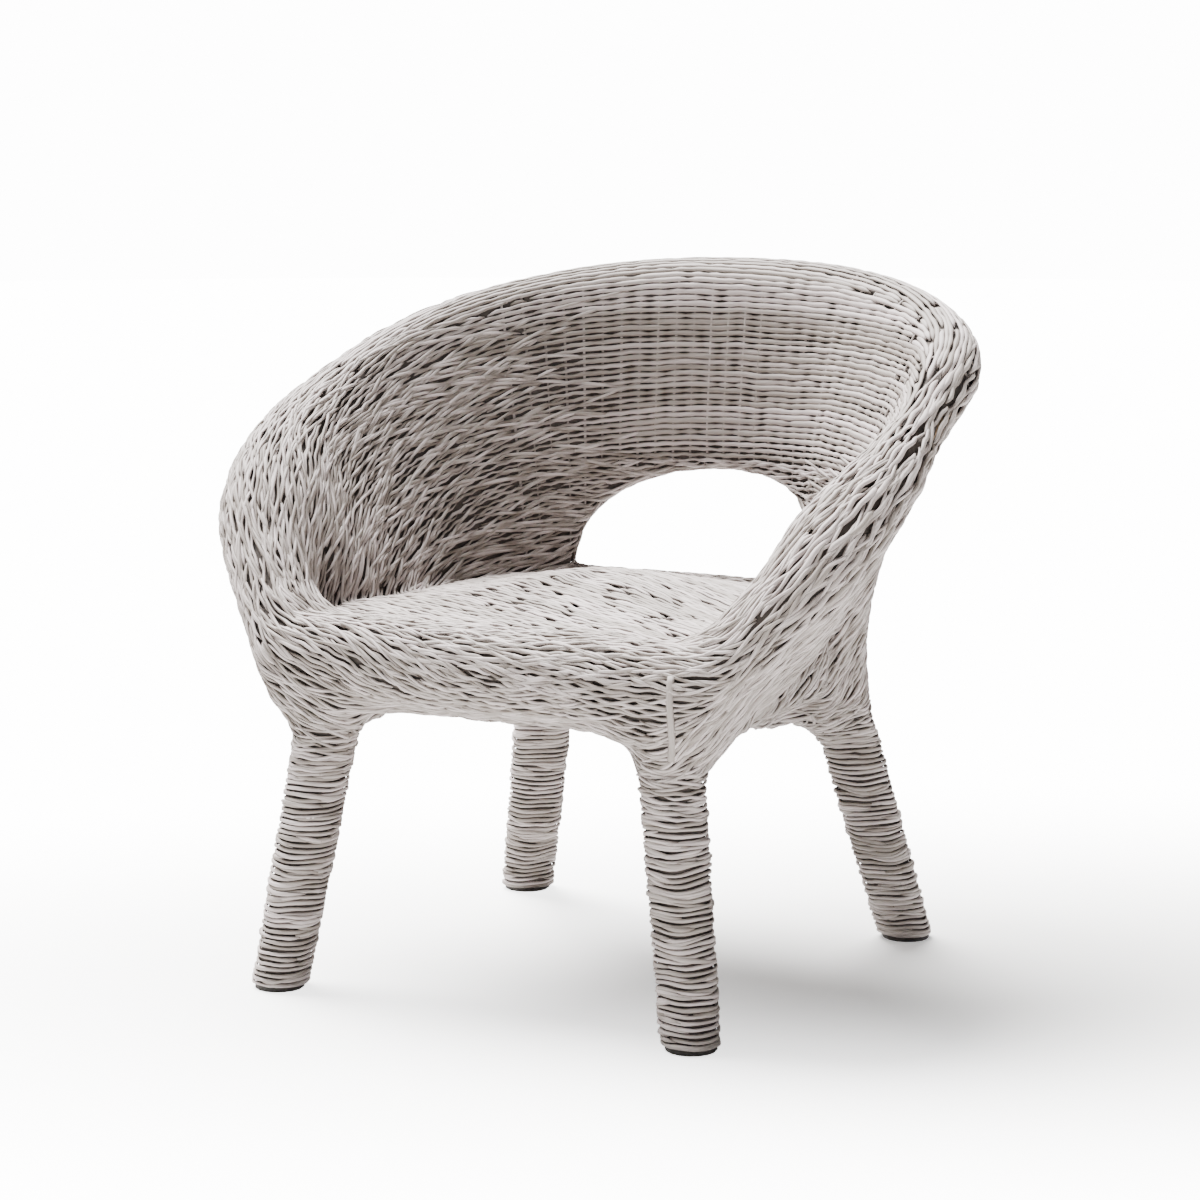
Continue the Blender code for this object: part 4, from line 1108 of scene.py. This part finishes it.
# %% Bundles of canes
def bundle(name, parts):
    points, quads, caps, tints, painted_shades, spots_along, strips = [], [], [], [], [], [], []
    first = 0
    for part in parts:
        count = len(part["marks"])
        points.append(part["rings"].reshape(-1, 3))
        ring = np.arange(SIDES)
        rows = first + np.arange(count - 1)[:, None] * SIDES
        after = (ring + 1) % SIDES
        corners = [rows + ring, rows + after, rows + SIDES + after, rows + SIDES + ring]
        quads.append(np.stack(corners, 2).reshape(-1, 4))
        caps.append(first + ring[::-1])
        caps.append(first + (count - 1) * SIDES + ring)
        tints.append(np.full(count * SIDES, part["tint"]))
        # Painted shade: each point's own share, and at least the darker sides given by the profile.
        painted_shades.append(np.maximum(part["dip"][:, None], PAINTED_EDGE_SHADE).ravel())
        along = np.repeat(part["marks"], SIDES)
        round_it = np.tile(ring / SIDES, count)
        own = np.full(count * SIDES, part["seed"])
        spots_along.append(np.stack([along + part["seed"], round_it, own], 1))
        strips.append((count, part["marks"][-1]))
        first += count * SIDES
    points, quads = np.concatenate(points), np.concatenate(quads)
    caps = np.array(caps)
    mesh = bpy.data.meshes.new(name)
    mesh.vertices.add(len(points))
    mesh.vertices.foreach_set("co", points.ravel())
    mesh.loops.add(quads.size + caps.size)
    mesh.loops.foreach_set("vertex_index", np.concatenate([quads.ravel(), caps.ravel()]))
    mesh.polygons.add(len(quads) + len(caps))
    starts = np.concatenate([np.arange(len(quads)) * 4, quads.size + np.arange(len(caps)) * SIDES])
    mesh.polygons.foreach_set("loop_start", starts)
    mesh.polygons.foreach_set("use_smooth", np.ones(len(starts), bool))
    mesh.update(calc_edges=True)
    for label, kind, key, values in (
        ("tint", "FLOAT", "value", np.concatenate(tints)),
        ("dip", "FLOAT", "value", np.concatenate(painted_shades)),
        ("place", "FLOAT_VECTOR", "vector", np.concatenate(spots_along).ravel()),
    ):
        mesh.attributes.new(label, kind, "POINT").data.foreach_set(key, values.astype(np.float32))
    lay_out(mesh, strips)
    made = bpy.data.objects.new(name, mesh)
    bpy.context.collection.objects.link(made)
    return made


print("a bundle carries tint, dip and place for its finish")

# %% [markdown]
# The chair comes apart on paper as the frame does: seat, front, rear, arms, the two faces of the back, and
# each leg. A cane goes where its middle lies, and each bundle stands in for the plain solid of its place.

# %% Canes by region
def region(cane):
    """Which bundle a cane belongs to, by its middle."""
    place, up = cane["path"][len(cane["path"]) // 2]
    x, y = place.x, place.y - SEAT_Y
    angle = math.degrees(math.atan2(x, y))
    reach = math.hypot(x, y)
    if place.z < 0.285 and leg_distance(place) < 0.075:
        return "leg_tops"
    if reach < deck_edge(math.radians(angle)) and up.z > 0.35 and place.z < 0.45:
        return "seat"
    if abs(angle) > 137:
        return "front"
    if abs(angle) < 36 and place.z < 0.42:
        return "rear"
    side = "left" if x > 0 else "right"
    if abs(angle) > 75:
        return "arm_" + side
    radial = up.x * math.sin(math.radians(angle)) + up.y * math.cos(math.radians(angle))
    return ("back_inside_" if radial < 0 else "back_outside_") + side


REPLACED = {
    "seat": ["deck_weave"], "front": ["apron_weave_front"], "rear": ["apron_weave_rear"],
    "leg_tops": ["leg_collar_" + leg for leg in LEGS],
}
groups = {}
for cane in canes:
    shape = crossing if cane.get("over") else upright if cane.get("stake") else woven
    shaped = shape(cane)
    groups.setdefault(region(cane), []).append(shaped)
pieces = {}
for name, parts in sorted(groups.items()):
    made = bundle("canes_" + name, parts)
    pieces[name] = made
    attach(made, "root")
    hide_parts(*REPLACED.get(name, ["back_weave"]))
    print(made.name, len(parts), "canes,", len(made.data.polygons) * 2, "triangles")
for leg, parts in leg_canes.items():
    made = bundle("canes_leg_" + leg, [wrapped(cane) for cane in parts])
    pieces["leg_" + leg] = made
    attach(made, "root")
    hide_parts("leg_winding_" + leg)
    print(made.name, len(parts), "canes,", len(made.data.polygons) * 2, "triangles")

# %% [markdown]
# One flat cane runs down the front of the sitter's left front leg, over the ends of the canes beside it. It
# takes its place from the frame's strip, dropped onto the form, and is made like any other cane, but wide
# and flat.

# %% Binding strip
STRIP_WIDTH, STRIP_THICK = 0.0085, 0.003
low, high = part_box("binding_strip")
strip_path = []
for share in np.linspace(0, 1, 14):
    spot = Vector(((low.x + high.x) / 2, (low.y + high.y) / 2, mix(high.z, low.z, share)))
    place, up, _ = on_form(spot)
    strip_path.append((place, up))
places, ups_here, marks = evened(strip_path, 0.007)
flat = np.ones(len(marks))
strip_cane = cane_mesh(
    places, ups_here, marks, flat * STRIP_WIDTH, flat * STRIP_THICK, flat * 0.0028, flat * 0, flat * 0.25
)
strip = bundle("binding_cane", [strip_cane])
pieces["strip"] = strip
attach(strip, "root")
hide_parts("binding_strip")
print("strip of", round(marks[-1], 3), "m")

# %% [markdown]
# ## The dark lining
# Between the canes one sees into shade: on the real chair more canes and the frame lie there. A second,
# coarser copy of the form, drawn in by a few millimetres and open underneath, closes the view. It gets a
# wall so that it also reads from below. A second full layer of canes would double the model and hardly show.

# %% Lining
LINING_SHARE, LINING_DEPTH, LINING_WALL = 0.22, 0.0034, 0.0025
FLOOR_GAP = 0.009
bpy.ops.object.select_all(action="DESELECT")
form.select_set(True)
bpy.context.view_layer.objects.active = form
bpy.ops.object.duplicate()
lining = bpy.context.object
lining.name = "lining"
lining.vertex_groups.clear()
step = lining.modifiers.new("thin_out", "DECIMATE")
step.ratio = LINING_SHARE
bpy.ops.object.modifier_apply(modifier=step.name)
bpy.ops.object.mode_set(mode="EDIT")
bpy.ops.mesh.select_all(action="SELECT")
bpy.ops.transform.shrink_fatten(value=-LINING_DEPTH)
bpy.ops.mesh.select_all(action="DESELECT")
bpy.ops.object.mode_set(mode="OBJECT")
for face in lining.data.polygons:
    face.select = bool(hidden_below(face.center, face.normal) or face.center.z < FLOOR_GAP)
bpy.ops.object.mode_set(mode="EDIT")
bpy.ops.mesh.delete(type="FACE")
bpy.ops.object.mode_set(mode="OBJECT")
step = lining.modifiers.new("wall", "SOLIDIFY")
step.thickness = LINING_WALL
step.offset = -1
bpy.ops.object.modifier_apply(modifier=step.name)
lining.data.validate()
bpy.ops.object.shade_smooth()
bpy.data.objects.remove(form, do_unlink=True)
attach(lining, "root")
print("lining:", len(lining.data.polygons), "faces")

# %% [markdown]
# ## Finishes
# Peeled cane is pale and dull, with fine lines along it. A flat colour would make the canes run together.
# The tint moves each cane between a warm grey and an off-white, fine noise stretched along the cane draws
# its lines, and painted shade makes the dips, the canes' sides and ends and the shaded wall darker and
# browner.

# %% Cane tone
def new_finish(name):
    made = bpy.data.materials.new(name)
    made.use_nodes = True
    return made, made.node_tree.nodes, made.node_tree.links, made.node_tree.nodes["Principled BSDF"]


def ramp(nodes, stops):
    made = nodes.new("ShaderNodeValToRGB")
    made.color_ramp.elements[0].position, made.color_ramp.elements[0].color = stops[0]
    made.color_ramp.elements[1].position, made.color_ramp.elements[1].color = stops[-1]
    for place, colour in stops[1:-1]:
        made.color_ramp.elements.new(place).color = colour
    return made


LINE_SCALE = (14.0, 9.0, 3.0)
LINES_SHARE, TINT_SHARE = 0.55, 0.55
cane_paint, nodes, links, shader = new_finish("peeled_cane")
tint = nodes.new("ShaderNodeAttribute")
tint.attribute_name = "tint"
# Painted shade: the share of dark brown given to each point of the canes.
dip = nodes.new("ShaderNodeAttribute")
dip.attribute_name = "dip"
place = nodes.new("ShaderNodeAttribute")
place.attribute_name = "place"
stretch = nodes.new("ShaderNodeMapping")
stretch.inputs["Scale"].default_value = LINE_SCALE
links.new(place.outputs["Vector"], stretch.inputs["Vector"])
lines = nodes.new("ShaderNodeTexNoise")
lines.inputs["Scale"].default_value = 2.0
lines.inputs["Detail"].default_value = 4.0
links.new(stretch.outputs["Vector"], lines.inputs["Vector"])
tone = nodes.new("ShaderNodeMath")
tone.operation = "MULTIPLY_ADD"
tone.inputs[1].default_value = LINES_SHARE
links.new(lines.outputs["Fac"], tone.inputs[0])
tint_part = nodes.new("ShaderNodeMath")
tint_part.operation = "MULTIPLY"
tint_part.inputs[1].default_value = TINT_SHARE
links.new(tint.outputs["Fac"], tint_part.inputs[0])
links.new(tint_part.outputs["Value"], tone.inputs[2])
print("lines along the cane are scaled by", LINE_SCALE)

# %% [markdown]
# The tone picks a colour from a ramp, the painted shade mixes in dark brown, and the same lines raise a
# faint bump, so that colour and relief agree.

# %% Cane colour
# Painted shade: how far the colour turns towards dark brown at the fullest painted shade.
PAINTED_SHADE_SHARE = 0.55
colour = ramp(nodes, [
    (0.15, (0.21, 0.172, 0.147, 1)), (0.45, (0.38, 0.335, 0.308, 1)), (0.85, (0.61, 0.535, 0.522, 1)),
])
links.new(tone.outputs["Value"], colour.inputs["Fac"])
shade = nodes.new("ShaderNodeMix")
shade.data_type = "RGBA"
shade.inputs["B"].default_value = (0.12, 0.090, 0.068, 1)
painted_shade_amount = nodes.new("ShaderNodeMath")
painted_shade_amount.operation = "MULTIPLY"
painted_shade_amount.inputs[1].default_value = PAINTED_SHADE_SHARE
links.new(dip.outputs["Fac"], painted_shade_amount.inputs[0])
links.new(painted_shade_amount.outputs["Value"], shade.inputs["Factor"])
links.new(colour.outputs["Color"], shade.inputs["A"])
links.new(shade.outputs["Result"], shader.inputs["Base Color"])
shader.inputs["Roughness"].default_value = 0.62
bump = nodes.new("ShaderNodeBump")
bump.inputs["Strength"].default_value = 0.25
bump.inputs["Distance"].default_value = 0.0006
links.new(lines.outputs["Fac"], bump.inputs["Height"])
links.new(bump.outputs["Normal"], shader.inputs["Normal"])
for made in pieces.values():
    made.data.materials.append(cane_paint)
print("cane finish on", len(pieces), "bundles")

# %% [markdown]
# The lining stands for canes deep in shade. Black would look like holes, so it is a dull brown with soft
# blotches from a noise in the object's own coordinates.

# %% Lining finish
lining_paint, nodes, links, shader = new_finish("shaded_lining")
where = nodes.new("ShaderNodeTexCoord")
blotch = nodes.new("ShaderNodeTexNoise")
blotch.inputs["Scale"].default_value = 60.0
links.new(where.outputs["Object"], blotch.inputs["Vector"])
colour = ramp(nodes, [(0.3, (0.052, 0.043, 0.037, 1)), (0.7, (0.11, 0.090, 0.078, 1))])
links.new(blotch.outputs["Fac"], colour.inputs["Fac"])
links.new(colour.outputs["Color"], shader.inputs["Base Color"])
shader.inputs["Roughness"].default_value = 0.9
lining.data.materials.clear()
lining.data.materials.append(lining_paint)
print("lining finish set")

# %% [markdown]
# The hidden frame shows from below: bare poles with long grain, plain steel bolts, dark feet. One function
# makes all three, because they differ only in colour, gloss and how far the noise is stretched.

# %% Finishes of the frame
def frame_finish(name, scale, stops, roughness, metal=0.0, strength=0.15):
    made, nodes, links, shader = new_finish(name)
    where = nodes.new("ShaderNodeTexCoord")
    stretch = nodes.new("ShaderNodeMapping")
    stretch.inputs["Scale"].default_value = scale
    links.new(where.outputs["Object"], stretch.inputs["Vector"])
    grain = nodes.new("ShaderNodeTexNoise")
    grain.inputs["Scale"].default_value = 30.0
    grain.inputs["Detail"].default_value = 5.0
    links.new(stretch.outputs["Vector"], grain.inputs["Vector"])
    colour = ramp(nodes, stops)
    links.new(grain.outputs["Fac"], colour.inputs["Fac"])
    links.new(colour.outputs["Color"], shader.inputs["Base Color"])
    shader.inputs["Roughness"].default_value = roughness
    shader.inputs["Metallic"].default_value = metal
    bump = nodes.new("ShaderNodeBump")
    bump.inputs["Strength"].default_value = strength
    bump.inputs["Distance"].default_value = 0.0005
    links.new(grain.outputs["Fac"], bump.inputs["Height"])
    links.new(bump.outputs["Normal"], shader.inputs["Normal"])
    return made


POLE_TONES = [(0.3, (0.26, 0.17, 0.10, 1)), (0.7, (0.46, 0.33, 0.21, 1))]
BOLT_TONES = [(0.3, (0.42, 0.42, 0.43, 1)), (0.7, (0.60, 0.60, 0.61, 1))]
FOOT_TONES = [(0.3, (0.03, 0.026, 0.023, 1)), (0.7, (0.07, 0.06, 0.052, 1))]
pole_paint = frame_finish("bare_pole", (1, 1, 0.15), POLE_TONES, 0.6)
bolt_paint = frame_finish("bolt_steel", (1, 1, 1), BOLT_TONES, 0.35, 1.0)
foot_paint = frame_finish("foot_dark", (1, 1, 1), FOOT_TONES, 0.7)
for name, node in frame["nodes"].items():
    node.data.materials.clear()
    if name.startswith("rail_bolt"):
        node.data.materials.append(bolt_paint)
    elif name.startswith("leg_foot"):
        node.data.materials.append(foot_paint)
    else:
        node.data.materials.append(pole_paint)
print("frame finishes set")

# %% [markdown]
# ## Floor, light and camera
# A studio floor is lit until it melts into the backdrop, but stays grey in the chair's shadow. More lamps
# would do it and would wash out the canes. So the pale floor also glows, only as the camera sees it, and
# the glow fades in a wide oval round the chair, set off towards where the lamp throws the shadow. That
# oval is a painted shadow.

# %% Floor
FLOOR_RADIUS = 14
bpy.ops.object.select_all(action="DESELECT")
bpy.ops.mesh.primitive_circle_add(vertices=96, radius=FLOOR_RADIUS, fill_type="NGON", location=(0, 0, 0))
floor = bpy.context.object
floor.name = "floor"
floor_paint, nodes, links, shader = new_finish("pale_floor")
shader.inputs["Base Color"].default_value = (0.72, 0.714, 0.70, 1)
shader.inputs["Roughness"].default_value = 1.0
shader.inputs["Specular IOR Level"].default_value = 0.0
seen = nodes.new("ShaderNodeLightPath")
where = nodes.new("ShaderNodeTexCoord")
# The oval below is a painted shadow: the glow fades inside it, so the floor stays grey there.
painted_shadow_oval = nodes.new("ShaderNodeMapping")
painted_shadow_oval.vector_type = "TEXTURE"
painted_shadow_oval.inputs["Location"].default_value = (0.40, 0.12, 0)
painted_shadow_oval.inputs["Rotation"].default_value = (0, 0, math.radians(29))
painted_shadow_oval.inputs["Scale"].default_value = (1.60, 0.88, 1.0)
links.new(where.outputs["Object"], painted_shadow_oval.inputs["Vector"])
round_it = nodes.new("ShaderNodeVectorMath")
round_it.operation = "LENGTH"
links.new(painted_shadow_oval.outputs["Vector"], round_it.inputs[0])
glow_with_painted_shadow = nodes.new("ShaderNodeMapRange")
glow_with_painted_shadow.interpolation_type = "SMOOTHSTEP"
glow_with_painted_shadow.inputs["From Min"].default_value = 0.10
glow_with_painted_shadow.inputs["From Max"].default_value = 1.25
glow_with_painted_shadow.inputs["To Min"].default_value = 0.4
glow_with_painted_shadow.inputs["To Max"].default_value = 11.0
links.new(round_it.outputs["Value"], glow_with_painted_shadow.inputs["Value"])
seen_glow = nodes.new("ShaderNodeMath")
seen_glow.operation = "MULTIPLY"
links.new(seen.outputs["Is Camera Ray"], seen_glow.inputs[0])
links.new(glow_with_painted_shadow.outputs["Result"], seen_glow.inputs[1])
links.new(seen_glow.outputs["Value"], shader.inputs["Emission Strength"])
shader.inputs["Emission Color"].default_value = (1.0, 1.0, 1.0, 1)
floor.data.materials.append(floor_paint)
floor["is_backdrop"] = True
print("floor of", FLOOR_RADIUS, "m")

# %% [markdown]
# A dim even sky fills the shade, and is bright white only where the camera looks straight at it. One
# large soft lamp, from the left and slightly behind, throws the faint shadow to the right.

# %% Sky and lamp
SKY, BACKDROP = 0.25, 14.0
world = bpy.data.worlds.new("studio")
bpy.context.scene.world = world
world.use_nodes = True
sky = world.node_tree.nodes["Background"]
sky.inputs["Color"].default_value = (1.0, 1.0, 1.0, 1)
seen = world.node_tree.nodes.new("ShaderNodeLightPath")
bright = world.node_tree.nodes.new("ShaderNodeMath")
bright.operation = "MULTIPLY_ADD"
bright.inputs[1].default_value = BACKDROP - SKY
bright.inputs[2].default_value = SKY
world.node_tree.links.new(seen.outputs["Is Camera Ray"], bright.inputs[0])
world.node_tree.links.new(bright.outputs["Value"], sky.inputs["Strength"])

bpy.ops.object.light_add(type="SUN", location=(-2, -1.4, 4))
lamp = bpy.context.object
lamp.data.energy = 20.0
lamp.data.angle = math.radians(40)
lamp.rotation_euler = Vector((-0.44, 0.20, 0.87)).to_track_quat("Z", "Y").to_euler()
print("lamp of", lamp.data.energy, "and sky of", SKY)

# %% [markdown]
# The camera stands to the sitter's left of the front, a little above the seat, with a long lens, as a
# product photographer would place it. It is set by its direction and distance from a target, which is
# easier to adjust than a place and a turn.

# %% Camera
azimuth, elevation, far = math.radians(29.147), math.radians(8.5645), 3.7784
target = Vector((0, SEAT_Y - 0.0039, 0.413))
level_share = math.cos(elevation)
back = Vector((math.sin(azimuth) * level_share, -math.cos(azimuth) * level_share, math.sin(elevation)))
bpy.ops.object.camera_add(location=target + back * far, rotation=back.to_track_quat("Z", "Y").to_euler())
camera = bpy.context.object
camera.data.lens = 102
camera.data.sensor_width = 36
bpy.context.scene.camera = camera
print("camera at", [round(v, 3) for v in camera.location])

# %% [markdown]
# Last, the finished chair is measured, and its size is printed.

# %% Sizes, and the end
low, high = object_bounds()
print("visual box", [round(v, 3) for v in high - low])
